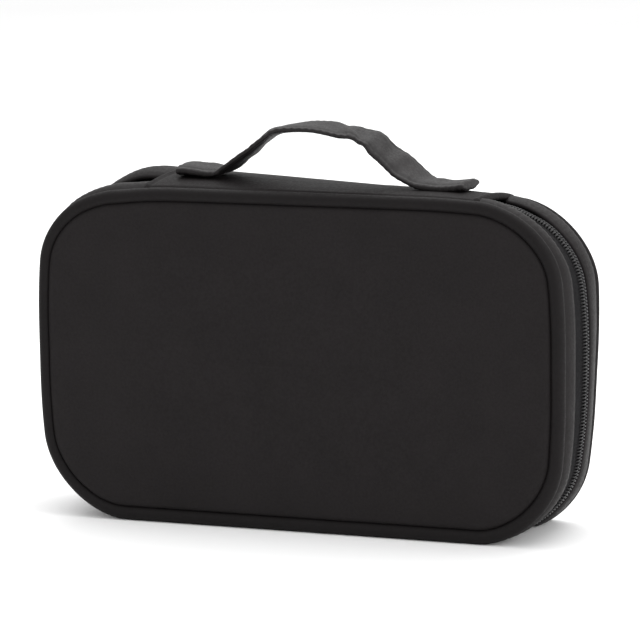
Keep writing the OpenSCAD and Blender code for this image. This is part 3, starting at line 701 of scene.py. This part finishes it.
def loop_band(name, node_name, chords, land, rise, base, sgn, body, tacks):
    lo_b, hi_b = (np.array(v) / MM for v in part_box(node_name))
    zc, h = (lo_b[2] + hi_b[2]) / 2, hi_b[2] - lo_b[2]
    path, lands = loop_path(chords, land, rise)
    path, d = resample(path, 430)
    t = np.gradient(path, axis=0); t /= np.linalg.norm(t, axis=1)[:, None]
    nn = np.c_[-t[:, 1], t[:, 0]]
    m = 33
    v_ = np.linspace(-1, 1, m)
    zz = v_ * h / 2
    thick = 0.41 * np.sqrt(np.clip(1 - np.abs(v_) ** 14, 0.05, 1)) + 0.05 * np.cos(zz * 2 * np.pi / 1.9)
    near = np.zeros(len(d))
    for a, b in lands:
        near += np.exp(-((path[:, 0] - (a + b) / 2) / 3.0) ** 4)
    th = thick[None, :] * (1 - 0.28 * near)[:, None] + 0.035 * np.sin(d * 2 * np.pi / 1.3)[:, None]
    wav = 0.16 * np.sin(d / 5.3)[:, None] * np.sin(zz / 4.1)[None, :] * (1 - near)[:, None]
    def skin(sg):
        x = path[:, 0][:, None] + nn[:, 0][:, None] * (th * sg + wav)
        off = path[:, 1][:, None] + nn[:, 1][:, None] * (th * sg + wav)
        return np.stack([x, base + sgn * off, np.broadcast_to(zc + zz * (1 - 0.012 * near[:, None]), x.shape)], -1)
    V = np.vstack([np.concatenate([skin(1), skin(-1)[:, ::-1]], 1).reshape(-1, 3)])
    k = 2 * m
    f = grid_faces(len(d), k, False, True)
    # end caps as strips, so that a cap is never one long polygon
    for e, flip in ((0, False), (len(d) - 1, True)):
        for j in range(m - 1):
            q = [e * k + j, e * k + j + 1, e * k + k - 2 - j, e * k + k - 1 - j]
            f.append(q if flip else q[::-1])
    uvz = np.concatenate([zz, zz[::-1]]) + 40
    uv = np.stack(np.broadcast_arrays(d[:, None], uvz[None, :]), -1).reshape(-1, 2)
    o = make(name, V, f, M_ELA, body=body, uv=uv, replaces=(node_name,), slot="elastic")
    up = np.array([0, sgn, 0.0])
    for a, b in lands:
        for xs in (a + 1.0, b - 1.0):
            z = np.linspace(zc - h / 2 + 1, zc + h / 2 - 1, 12)
            tacks.add(*stitch_geo(np.c_[np.full(12, xs), np.full(12, base + sgn * 0.84), z], np.tile(up, (12, 1)), 1.9, 0.7, 0.2))
        for sz_ in (-1, 1):
            zz_ = zc + sz_ * (h / 2 - 2.5) + np.linspace(-1.5, 1.5, 25)
            xx = (a + b) / 2 + 0.75 * np.where(np.arange(25) % 2, 1, -1)
            tacks.add(*tube_geo(np.c_[xx, np.full(25, base + sgn * 0.98), zz_], 0.17, 5, up=(0, 1, 0.01)))
    return float(d[-1])

L_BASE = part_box("loop_band_upper")[1][1] / MM
tacks = Bag()
len_u = loop_band("loop_band_upper_webbing", "loop_band_upper", [34, 34, 24, 24, 34], 5, 8, L_BASE, -1, "back_half", tacks)
len_l = loop_band("loop_band_lower_webbing", "loop_band_lower", [44, 24, 24, 24, 44], 5, 8, L_BASE, -1, "back_half", tacks)
tacks.make("loop_bartack_stitches", M_THREAD, body="back_half", replaces=("loop_bartacks",), slot="thread")

# ------------------------------------------------------------------ mesh pocket
lo_p, hi_p = (np.array(v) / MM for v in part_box("mesh_pocket"))
lo_pb, hi_pb = (np.array(v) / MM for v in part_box("mesh_pocket_binding"))
PW, PZ0, PTOP = hi_p[0], lo_p[2], hi_p[2]
P_BASE, P_RISE = -lo_p[1] - 0.25, 7.1
def pocket_d(x, z):
    """Distance in from the sewn edge of the mesh pocket, which is open at the top."""
    r = 14.0
    ax = PW - np.abs(x); az = z - PZ0
    corner = r - np.hypot(np.maximum(r - ax, 0), np.maximum(r - az, 0))
    return np.where((ax < r) & (az < r), corner, np.minimum(ax, az))
def pocket_y(x, z):
    d = np.clip(pocket_d(x, z), 0, None)
    gath = 0.22 * np.sin(x * 2 * np.pi / 5.3 + np.sin(x / 13)) * smooth((z - 66) / 24) * smooth(d / 8)
    return -(P_BASE - P_RISE * smooth(d / 4.2) - gath)
net = Bag()
cell = 2.10 * math.sqrt(2)
span = PW * 2 + (PTOP - PZ0)
for fam in (1, -1):
    for c in np.arange(-span / 2, span / 2, cell):
        # x - fam * (z - zmid) = c
        z = np.arange(PZ0 + 0.2, PTOP - 3.0, 0.75)
        x = c + fam * (z - (PZ0 + PTOP) / 2)
        x = x + 0.12 * np.sin(z * 2 * np.pi / cell * 2)
        ok = (pocket_d(x, z) > 0.1) & (np.abs(x) < PW - 0.1)
        if ok.sum() < 4: continue
        x, z = x[ok], z[ok]
        y = pocket_y(x, z) + fam * 0.13 * np.sin(z * 2 * np.pi / cell)
        net.add(*tube_geo(np.c_[x, y, z], 0.31, 5, up=(0, 1, 0.01)))
net_o = net.make("mesh_pocket_net", M_NET, body="front_half", replaces=("mesh_pocket",), slot="mesh")

bx = np.linspace(-PW + 0.3, PW - 0.3, 300)
by = pocket_y(bx, np.full(300, PTOP - 6.0))
bt = np.gradient(np.c_[bx, by], axis=0); bt /= np.linalg.norm(bt, axis=1)[:, None]
zb0, zb1 = lo_pb[2], hi_pb[2]
a = np.linspace(0, 2 * np.pi, 28, endpoint=False)
sq = lambda v, e: np.sign(v) * np.abs(v) ** e
pz = (zb0 + zb1) / 2 + (zb1 - zb0) / 2 * sq(np.sin(a), 0.35)
pn = 0.62 * sq(np.cos(a), 0.6)
pk = 1 + 0.22 * np.sin(bx * 2 * np.pi / 3.7)[:, None] * (np.abs(np.sin(a)) ** 2)[None, :]
Xb = bx[:, None] - bt[:, 1][:, None] * (pn[None, :] * pk)
Yb = by[:, None] + bt[:, 0][:, None] * (pn[None, :] * pk)
Zb = np.broadcast_to(pz[None, :], Xb.shape) + 0.18 * np.sin(bx / 9)[:, None]
kk = len(a)
bag = Bag()
bag.add(np.stack([Xb, Yb, Zb], -1).reshape(-1, 3), grid_faces(300, kk, False, True) + [list(range(kk)), [299 * kk + i for i in range(kk)][::-1]],
        np.stack(np.broadcast_arrays(bx[:, None] + 150, (a * 5)[None, :]), -1).reshape(-1, 2))
# sewn-down tape round the sides and bottom
ang = np.radians(np.linspace(180, 270, 16))
edge_l = np.r_[np.c_[np.full(30, -PW + 1.2), np.linspace(PTOP - 1, PZ0 + 14, 30)], np.c_[-PW + 14 + 12.8 * np.cos(ang), PZ0 + 14 + 12.8 * np.sin(ang)][1:]]
edge_ = np.vstack([edge_l, np.c_[-edge_l[::-1, 0], edge_l[::-1, 1]]])
edge_, ed = resample(edge_, 300)
et = np.gradient(edge_, axis=0); et /= np.linalg.norm(et, axis=1)[:, None]
en = np.c_[-et[:, 1], et[:, 0]]
w_ = 2.4 * sq(np.cos(a), 0.5); t_ = 0.34 * sq(np.sin(a), 0.8)
Xe = edge_[:, 0][:, None] + en[:, 0][:, None] * w_[None, :]; Ze = edge_[:, 1][:, None] + en[:, 1][:, None] * w_[None, :]
Ye = -(P_BASE + 0.0) + 0.12 + np.broadcast_to(t_[None, :], Xe.shape)
bag.add(np.stack([Xe, Ye, Ze], -1).reshape(-1, 3), grid_faces(300, kk, False, True) + [list(range(kk)), [299 * kk + i for i in range(kk)][::-1]],
        np.stack(np.broadcast_arrays(ed[:, None], (w_ + 10)[None, :]), -1).reshape(-1, 2))
bind_o = bag.make("mesh_pocket_tape", M_BIND, body="front_half", replaces=("mesh_pocket_binding",), slot="binding")
st = Bag()
for zz in (zb0 + 1.3, zb1 - 1.6):
    yy = pocket_y(bx, np.full(300, PTOP - 6.0)) + 0.64
    keep = np.abs(bx) < PW - 6
    st.add(*stitch_geo(np.c_[bx[keep], yy[keep], np.full(keep.sum(), zz) + 0.18 * np.sin(bx[keep] / 9)], np.tile([0, 1.0, 0], (keep.sum(), 1)), 2.2, 0.8, 0.2))
st.add(*stitch_geo(np.c_[edge_[:, 0], np.full(300, -P_BASE + 0.50), edge_[:, 1]], np.tile([0, 1.0, 0], (300, 1)), 2.2, 0.8, 0.2))
st_o = st.make("mesh_pocket_stitches", M_THREAD, body="front_half", slot="thread")

# ------------------------------------------------------------------ divider page
lo_d, hi_d = (np.array(v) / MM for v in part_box("divider_binding"))
lo_h, hi_h = (np.array(v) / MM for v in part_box("divider_hinge_tape"))
DW, DZ0, DZ1 = hi_d[0], lo_d[2], hi_d[2]
def page_line(i, n=520):
    """Outline of the page, inset i, as an even ring of points with outward normals."""
    w, z0, z1 = DW, DZ0, DZ1
    c = [(0, z0, 0), (w, z0, 20), (w, z1 - 24, 12), (w - 34, z1, 12), (-w + 34, z1, 12), (-w, z1 - 24, 12), (-w, z0, 20), (0, z0, 0)]
    q, d = resample(rounded(c), n + 1)
    q = q[:-1]
    t = np.roll(q, -2, 0) - np.roll(q, 2, 0); t /= np.linalg.norm(t, axis=1)[:, None]
    nn = np.c_[t[:, 1], -t[:, 0]]
    return q - nn * i, nn, d[:-1]
q0, qn, qd = page_line(0)
rows = {1: [], -1: []}
for side in (1, -1):
    for i, yy in ((1.0, 0.4), (1.1, 0.9), (1.6, 1.15), (2.6, 1.2), (4, 1.32), (7, 1.4), (12, 1.42)):
        q = q0 - qn * i
        rows[side].append(np.c_[q[:, 0], np.full(len(q), side * yy), q[:, 1]])
    qi = q0 - qn * 12
    tgt = np.c_[np.clip(qi[:, 0], -36, 36), np.full(len(qi), (DZ0 + DZ1) / 2)]
    for a2 in np.linspace(0, 1, 12)[1:]:
        a2 = min(a2, 0.985)
        q = qi * (1 - a2) + tgt * a2
        y = side * (1.42 + 0.06 * np.sin(q[:, 0] / 13 + side) * np.sin(q[:, 1] / 11))
        rows[side].append(np.c_[q[:, 0], y, q[:, 1]])
V, f = disc(rows[1], rows[-1])
pg = make("divider_page_cover", V, f, M_LIN, body="divider", uv=np.c_[V[:, 0] + 150, V[:, 2]], replaces=("divider_board",), slot="lining", deform=False)

a = np.linspace(0, 2 * np.pi, 22, endpoint=False)
bi = 1.25 + 1.35 * sq(np.cos(a), 0.5); byy = 1.58 * sq(np.sin(a), 0.55)
pk = 1 + 0.03 * np.sin(qd * 2 * np.pi / 2.9)[:, None] * np.ones((1, 22))
Xq = q0[:, 0][:, None] - qn[:, 0][:, None] * bi[None, :]
Zq = q0[:, 1][:, None] - qn[:, 1][:, None] * bi[None, :]
Yq = byy[None, :] * pk
V = np.stack([Xq, Yq, Zq], -1).reshape(-1, 3)
make("divider_edge_tape", V, grid_faces(len(q0), 22, True, True), M_BIND, body="divider",
     uv=np.stack(np.broadcast_arrays(qd[:, None], (a * 2)[None, :]), -1).reshape(-1, 2), replaces=("divider_binding",), slot="binding", deform=False)
dst = Bag()
for side in (1, -1):
    q = np.vstack([q0 - qn * 2.0, (q0 - qn * 2.0)[:1]])
    dst.add(*stitch_geo(np.c_[q[:, 0], np.full(len(q), side * 1.50), q[:, 1]], np.tile([0, side * 1.0, 0], (len(q), 1)), 2.2, 0.8, 0.16))

gx = np.linspace(lo_h[0] + 0.2, hi_h[0] - 0.2, 120); gz = np.linspace(DZ1 - 3.0, 145.65, 26)
X, Z = np.meshgrid(gx, gz, indexing="ij")
Yw = 0.10 * np.sin(X / 6.1) * np.sin((Z - gz[0]) / 4.0)
ht = slab_sheet("divider_hinge_webbing", X, Yw, Z, (0, 1, 0), 0.9, M_BIND, np.c_[X.ravel() + 100, Z.ravel()], replaces=("divider_hinge_tape",), slot="binding", deform=lambda v: smooth((v[:, 2] - 137) / 8.6))
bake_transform(ht)

page_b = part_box("divider_loop_band")[0][1] / MM
len_p = loop_band("divider_loop_webbing", "divider_loop_band", [30, 30, 30, 30], 5, 6.5, page_b, 1, "divider", dst)

lo_k, hi_k = (np.array(v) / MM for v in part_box("divider_pocket"))
gx = np.linspace(lo_k[0] + 0.3, hi_k[0] - 0.3, 170); gz = np.linspace(lo_k[2] + 0.3, hi_k[2] - 0.3, 70)
X, Z = np.meshgrid(gx, gz, indexing="ij")
def bag_y(X, Z):
    dd = np.minimum(hi_k[0] - 0.3 - np.abs(X), Z - lo_k[2] - 0.3)
    rise = 4.1 * smooth(dd / 6.0) * (1 - 0.10 * np.cos(X / 26)) + 0.14 * np.sin(X / 5 + Z / 9) * smooth(dd / 10)
    return -(1.75 + np.minimum(rise, 4.15))
hem = 0.16 * (Z > hi_k[2] - 7)
dp = slab_sheet("divider_pocket_cloth", X, bag_y(X, Z) - hem, Z, (0, 1, 0), 0.5, M_LIN, np.c_[X.ravel() + 100, Z.ravel()], body="divider", replaces=("divider_pocket",), slot="lining", deform=False)
keep = np.abs(gx) < hi_k[0] - 1
for z_ in (hi_k[2] - 1.6, hi_k[2] - 6.6):
    pts = np.c_[gx[keep], bag_y(gx[keep], np.full(keep.sum(), z_)) - 0.42, np.full(keep.sum(), z_)]
    dst.add(*stitch_geo(pts, np.tile([0, -1.0, 0], (len(pts), 1)), 2.2, 0.8, 0.2))
rim = np.vstack([np.c_[np.full(40, lo_k[0] + 1.2), np.linspace(hi_k[2] - 1, lo_k[2] + 1.2, 40)], np.c_[np.linspace(lo_k[0] + 1.2, hi_k[0] - 1.2, 80), np.full(80, lo_k[2] + 1.2)][1:],
                 np.c_[np.full(40, hi_k[0] - 1.2), np.linspace(lo_k[2] + 1.2, hi_k[2] - 1, 40)][1:]])
dst.add(*stitch_geo(np.c_[rim[:, 0], bag_y(rim[:, 0], rim[:, 1]) - 0.28, rim[:, 1]], np.tile([0, -1.0, 0], (len(rim), 1)), 2.2, 0.8, 0.2))
dst_o = dst.make("divider_stitches", M_THREAD, body="divider", slot="thread", deform=False)

# ------------------------------------------------------------------ sliders and pulls
def plate(outline, x0, x1, bev, place, dome=0.0):
    """A metal plate: outline in Y-Z, from x0 to x1, with rounded edges."""
    o = np.asarray(outline, float); n = len(o)
    c = o.mean(0)
    t = np.roll(o, -1, 0) - np.roll(o, 1, 0); t /= np.linalg.norm(t, axis=1)[:, None]
    nn = np.c_[t[:, 1], -t[:, 0]]
    if ((o + nn - c) ** 2).sum() < ((o - nn - c) ** 2).sum(): nn = -nn
    V = []
    steps = [(0.0, 1.0), (0.07, 0.62), (0.3, 0.3), (0.62, 0.07), (1.0, 0.0)]
    rows = [(c + (o - c) * 0.03, x0 - dome), (c + (o - c) * 0.5, x0 - dome * 0.8), (o - nn * bev * 1.6, x0 - dome * 0.25)]
    rows += [(o - nn * bev * b, x0 + bev * a_) for a_, b in steps]
    rows += [(o - nn * bev * a_, x1 - bev * b) for a_, b in steps]
    rows += [(c + (o - c) * 0.5, x1), (c + (o - c) * 0.03, x1)]
    for q, x in rows:
        V.append(np.c_[np.full(n, x), q])
    f = grid_faces(len(rows), n, False, True) + [list(range(n)), [(len(rows) - 1) * n + i for i in range(n)][::-1]]
    V = np.vstack(V)
    return place(V), f, np.c_[V[:, 1] + V[:, 0] + 20, V[:, 2] + V[:, 0] + 20]

def chaikin(p, k=2):
    p = np.asarray(p, float)
    for _ in range(k):
        q = np.roll(p, -1, 0)
        p = np.stack([p * 0.75 + q * 0.25, p * 0.25 + q * 0.75], 1).reshape(-1, 2)
    return p

def fill(p, n=96):
    p = np.vstack([p, p[:1]])
    return resample(p, n + 1)[0][:-1]

COIL_IN, COIL_T, S_LEN, PIN_X, PULL = 2.2, 2.4, 13.0, -1.3, 26.0
shape = fill(chaikin([(-4.0, 0), (4.0, 0), (4.8, 1.2), (4.8, 5.85), (3.6, 12), (2.4, 13), (-2.4, 13), (-3.6, 12), (-4.8, 5.85), (-4.8, 1.2)], 2))
def slider(name, node_name, body, place):
    b = Bag()
    px = COIL_IN - 0.4
    b.add(*plate(shape, px - 1.4, px, 0.34, place))
    b.add(*plate(shape, COIL_IN + COIL_T + 0.4, COIL_IN + COIL_T + 1.6, 0.34, place))
    # wedge between the two rows
    w = fill(chaikin([(-0.4, 0.7), (0.4, 0.7), (0.4, 3.6), (0, 4.6), (-0.4, 3.6)], 2), 40)
    b.add(*plate(w, px - 0.6, COIL_IN + COIL_T + 1.0, 0.08, place))
    # two lugs and the pin of the crown
    for s_ in (-1, 1):
        ang = np.linspace(0, 2 * np.pi, 40, endpoint=False)
        rows = []
        for yy, rr in ((-0.55, 0.96), (-0.45, 1.08), (-0.2, 1.14), (0.2, 1.14), (0.45, 1.08), (0.55, 0.96)):
            prof = []
            for t in ang:
                x, z = math.cos(t) * rr, math.sin(t) * rr
                if x > 0:                       # the lug runs down into the plate
                    z = np.sign(z) * rr * min(1, abs(math.sin(t)) ** 0.5); x = x / max(abs(math.cos(t)), 1e-3) * (px - 0.9 - PIN_X) * (abs(math.cos(t)) ** 0.35) / rr
                prof.append((PIN_X + x, s_ * 2.6 + yy, S_LEN / 2 + z))
            rows.append(prof)
        V = np.array(rows).reshape(-1, 3)
        b.add(place(V), grid_faces(6, 40, False, True) + [list(range(40)), [5 * 40 + i for i in range(40)][::-1]], V[:, 1:] + 20)
    v, f, u = tube_geo(np.array([[PIN_X, y, S_LEN / 2] for y in (-2.7, -2.6, 0, 2.6, 2.7)]), [0.5, 0.65, 0.65, 0.65, 0.5], 16, up=(0, 0, 1))
    b.add(place(v), f, u)
    return b.make(name, M_ZINC, body=body, replaces=(node_name,), slot="slider_metal", deform=False)

def puller(name, node_name, body, place):
    b = Bag()
    # tab with a hole near its end: rings from the hole out to the edge and back
    n = 120
    th = np.linspace(0, 2 * np.pi, 49)[:-1]
    tab = np.vstack([[(-4, -5.4), (-3.6, -5.0), (3.6, -5.0), (4, -5.4)], [(4 * math.cos(t), -PULL + 4 - 4 * math.sin(t)) for t in np.linspace(0, np.pi, 30)]])
    tab = fill(tab, n)
    hc = np.array([0, -PULL + 4.5])
    a_t = np.unwrap(np.arctan2(tab[:, 1] - hc[1], tab[:, 0] - hc[0]))
    t0 = tab.mean(0)
    hole = hc + 1.6 * np.c_[np.cos(a_t), np.sin(a_t)]
    tt = np.roll(tab, -1, 0) - np.roll(tab, 1, 0); tt /= np.linalg.norm(tt, axis=1)[:, None]
    nn = np.c_[tt[:, 1], -tt[:, 0]]
    if ((tab + nn - t0) ** 2).sum() < ((tab - nn - t0) ** 2).sum(): nn = -nn
    hn = (hole - hc) / 1.6
    rows = []
    def ring(q, x): rows.append(np.c_[np.full(n, x), q])
    ring(hole, 0.0); ring(hole, 0.42); ring(hole + hn * 0.08, 0.54); ring(hole + hn * 0.25, 0.58); ring(hole + hn * 0.6, 0.46)
    ring(tab - nn * 1.0, 0.46); ring(tab - nn * 0.75, 0.58); ring(tab - nn * 0.35, 0.60); ring(tab - nn * 0.1, 0.50); ring(tab, 0.25)
    ring(tab, -0.25); ring(tab - nn * 0.1, -0.50); ring(tab - nn * 0.35, -0.60); ring(tab - nn * 0.75, -0.58); ring(tab - nn * 1.0, -0.46)
    ring(hole + hn * 0.6, -0.46); ring(hole + hn * 0.25, -0.58); ring(hole + hn * 0.08, -0.54); ring(hole, -0.42)
    V = np.vstack(rows)
    b.add(place(V), grid_faces(len(rows), n, True, True), V[:, 1:] + 30)
    # neck and eye
    neck = fill(chaikin([(-1.7, -0.9), (1.7, -0.9), (1.7, -4.6), (2.6, -6.2), (-2.6, -6.2), (-1.7, -4.6)], 2), 60)
    b.add(*plate(neck, -0.58, 0.58, 0.2, place))
    ang = np.linspace(0, 2 * np.pi, 40, endpoint=False)
    rows = []
    for y, r in ((-1.7, 1.1), (-1.62, 1.38), (-1.45, 1.5), (1.45, 1.5), (1.62, 1.38), (1.7, 1.1), (1.6, 0.97), (0, 0.95), (-1.6, 0.97)):
        rows.append(np.c_[r * np.cos(ang), np.full(40, y), r * np.sin(ang)])
    V = np.vstack(rows)
    b.add(place(V), grid_faces(9, 40, True, True), V[:, 1:] + 10)
    return b.make(name, M_ZINC, body=body, replaces=(node_name,), slot="pull_metal", deform=False)

PARK = HT / 2
up_place = lambda V: np.c_[V[:, 0] - A, V[:, 1], V[:, 2] + PARK + 0.4]
dn_place = lambda V: np.c_[V[:, 0] - A, V[:, 1], PARK - 0.4 - V[:, 2]]
def hang(V, lean, at_):
    V = np.array(V); V[:, 2] = -V[:, 2]
    t = math.radians(lean)
    x, z = V[:, 0] * math.cos(t) + V[:, 2] * math.sin(t), -V[:, 0] * math.sin(t) + V[:, 2] * math.cos(t)
    return at_(np.c_[x + PIN_X, V[:, 1], z + S_LEN / 2])
slider("upper_slider_body", "upper_slider", "upper_slider", up_place)
slider("lower_slider_body", "lower_slider", "lower_slider", dn_place)
puller("upper_pull_tab", "upper_slider_pull", "upper_pull", lambda V: hang(V, 3.0, up_place))
puller("lower_pull_tab", "lower_slider_pull", "lower_pull", lambda V: hang(V, 0.0, dn_place))

# ------------------------------------------------------------------ handle
HX = SHIFT
def spline(p, n):
    """A smooth curve through points, as n evenly spaced points of the fine curve."""
    p = np.asarray(p, float)
    q = np.vstack([2 * p[0] - p[1], p, 2 * p[-1] - p[-2]])
    out = []
    for i in range(1, len(q) - 2):
        for t in np.linspace(0, 1, 24, endpoint=False):
            a, b, c, d = q[i - 1], q[i], q[i + 1], q[i + 2]
            out.append(0.5 * (2 * b + (c - a) * t + (2 * a - 5 * b + 4 * c - d) * t * t + (3 * b - a - 3 * c + d) * t ** 3))
    out.append(q[-2])
    return np.array(out)
front_edge = spline([(-58.8, 152.2), (-55.0, 152.4), (-48, 151.6), (-41.0, 151.4), (-38.0, 153.4), (-30.2, 158.9), (-23.2, 163.9), (-16.6, 168.6), (-10.5, 171.2),
                     (3.0, 171.4), (12.6, 170.0), (21.0, 168.9), (27.2, 166.2), (30.9, 161.8), (35.9, 157.5), (43.2, 152.0), (50.6, 148.8), (58.4, 148.1), (65.0, 148.3), (71.4, 149.4)], 0)
back_edge = spline([(-61.2, 151.3), (-57.2, 152.5), (-51.5, 152.7), (-43.5, 152.0), (-38.6, 152.4), (-35.2, 153.9), (-28.9, 159.5), (-22.4, 164.8), (-17.2, 168.9),
                    (-5.0, 172.2), (3.5, 172.6), (12.5, 171.2), (21.8, 170.2), (29.4, 168.0), (35.0, 163.4), (43.6, 157.3), (52.4, 149.8), (58.5, 148.5), (65.5, 148.4), (72.4, 149.0)], 0)
mid_line = (front_edge + back_edge) / 2
both = np.c_[mid_line, front_edge, back_edge]
dm = np.r_[0, np.cumsum(np.linalg.norm(np.diff(mid_line, axis=0), axis=1))]
n_h = 360
h_d = np.linspace(0, dm[-1], n_h)
both = np.stack([np.interp(h_d, dm, both[:, q]) for q in range(6)], 1)
FE, BE = both[:, 2:4], both[:, 4:6]
HW, HTK = 10.3, 1.25
aa = np.linspace(0, 2 * np.pi, 56, endpoint=False)
sy = np.sign(np.cos(aa)) * np.abs(np.cos(aa)) ** 0.40            # -1 front edge, 1 back edge
sz = np.sign(np.sin(aa)) * np.abs(np.sin(aa)) ** 0.62
ed = np.abs(sy)
sz = sz * (1 + 0.30 * np.exp(-((ed - 0.35) / 0.38) ** 2) - 0.20 * np.exp(-((ed - 0.80) / 0.07) ** 2))
L_ = h_d[-1]
puck = np.sin(h_d * 2 * np.pi / 3.3 + 1.5 * np.sin(h_d / 11))
def folds(d, v):
    """Soft irregular folds in the strap: broad ones at the bends, hardly any on the crest."""
    out = 0.10 * np.sin(d / 6.1 + 1.6 * v + 0.6 * np.sin(d / 17))
    for c, wd, amp, wl, sl in ((0.565, 7, 0.75, 2.6, 1.9), (0.625, 5, -0.85, 2.1, -1.3), (0.69, 7, 0.75, 2.8, 1.1), (0.76, 6, 0.50, 2.3, -1.8),
                               (0.31, 7, 0.35, 2.4, 1.4), (0.24, 6, -0.35, 2.2, -1.0), (0.10, 6, 0.30, 2.0, 1.2), (0.90, 6, 0.25, 2.2, -1.4)):
        q = d - c * L_
        out = out + amp * np.exp(-(q / wd) ** 2) * np.sin(q / wl + sl * v + 3 * c)
    return out
w_ = (sy + 1) / 2
cx_ = FE[:, None, :] * (1 - w_)[None, :, None] + BE[:, None, :] * w_[None, :, None]
tang = np.gradient(cx_, axis=0)
along = np.dstack([tang[..., 0], np.zeros(tang.shape[:2]), tang[..., 1]])
across = np.dstack([np.broadcast_to((BE - FE)[:, None, 0], tang.shape[:2]), np.full(tang.shape[:2], 2 * HW), np.broadcast_to((BE - FE)[:, None, 1], tang.shape[:2])])
nrm_ = np.cross(along, across); nrm_ /= np.linalg.norm(nrm_, axis=2)[..., None]
nrm_ *= np.sign(nrm_[n_h // 2, 10, 2])
yy_ = sy[None, :] * HW * (1 + 0.012 * wob(h_d, 4, 14)[:, None] + 0.012 * puck[:, None]) + 0.35 * wob(h_d, 8, 30)[:, None]
tabs = np.maximum(1 - smooth((h_d - 13) / 8), 1 - smooth((h_d[-1] - h_d - 17) / 8))[:, None]
lift_ = HTK * (1 + 0.40 * tabs) * sz[None, :] * (1 + 0.05 * puck[:, None] * np.exp(-((ed - 0.93) / 0.09) ** 2)[None, :])
crest = np.exp(-((h_d - L_ * 0.45) / 30) ** 4)
lift_ = lift_ + folds(h_d[:, None], sy[None, :]) * np.exp(-(ed / 0.97) ** 10)[None, :]
lift_ = lift_ + 0.12 * puck[:, None] * (crest[:, None] * np.clip(-sy, 0, 1)[None, :] ** 3)
cap = np.minimum(h_d, h_d[-1] - h_d)
shr = np.sqrt(np.clip(1 - ((0.9 - np.clip(cap, 0, 0.9)) / 0.9) ** 2, 0.20, 1))
lift_ = lift_ * shr[:, None]
yy_ = yy_ * (0.93 + 0.07 * shr)[:, None]
P_ = np.dstack([cx_[..., 0], yy_, cx_[..., 1]]) + nrm_ * lift_[..., None]
V = P_.reshape(-1, 3)
k = len(sy)
f = grid_faces(n_h, k, False, True) + [list(range(k)), [(n_h - 1) * k + i for i in range(k)][::-1]]
uvh = np.stack(np.broadcast_arrays(h_d[:, None], sy[None, :] * HW + 20), -1).reshape(-1, 2)
strap = make("handle_strap_cover", V, f, M_STRAP, body="top_strip", uv=uvh, replaces=("handle_strap", "handle_core", "handle_bartacks"), slot="top_fabric", deform=False)

# ------------------------------------------------------------------ set
floor_me = bpy.data.meshes.new("floor")
s_ = 6.0
floor_me.from_pydata([(-s_, -s_, 0), (s_, -s_, 0), (s_, s_, 0), (-s_, s_, 0)], [], [(0, 1, 2, 3)])
floor = bpy.data.objects.new("floor", floor_me); scene.collection.objects.link(floor)
mt, nt, b = new_mat("floor_paper")
oc = node(nt, "ShaderNodeTexCoord"); nz = node(nt, "ShaderNodeTexNoise"); nz.inputs["Scale"].default_value = 3.0
nt.links.new(oc.outputs["Object"], nz.inputs[0])
nt.links.new(ramp(nt, nz.outputs["Fac"], [(0.3, (0.955, 0.955, 0.955)), (0.7, (0.975, 0.975, 0.975))]), b.inputs["Base Color"])
b.inputs["Roughness"].default_value = 0.9; b.inputs["Specular IOR Level"].default_value = 0.05
floor_me.materials.append(mt)

world = bpy.data.worlds.new("studio"); scene.world = world; world.use_nodes = True
bg = world.node_tree.nodes["Background"]; bg.inputs[0].default_value = (1, 1, 1, 1); bg.inputs[1].default_value = 1.0

def area(name, loc, target, size, power, shape="RECTANGLE", size_y=None):
    l = bpy.data.lights.new(name, "AREA"); l.energy = power; l.shape = shape; l.size = size
    if size_y: l.size_y = size_y
    o = bpy.data.objects.new(name, l); scene.collection.objects.link(o)
    o.location = loc
    o.rotation_euler = (Vector(target) - Vector(loc)).to_track_quat("-Z", "Y").to_euler()
    return o

area("key_top", (0.0, 0.45, 1.30), (0, 0, 0.05), 1.9, 17, size_y=1.5)
area("side_right", (1.2, -0.25, 0.55), (0, 0, 0.07), 0.6, 6, size_y=0.9)
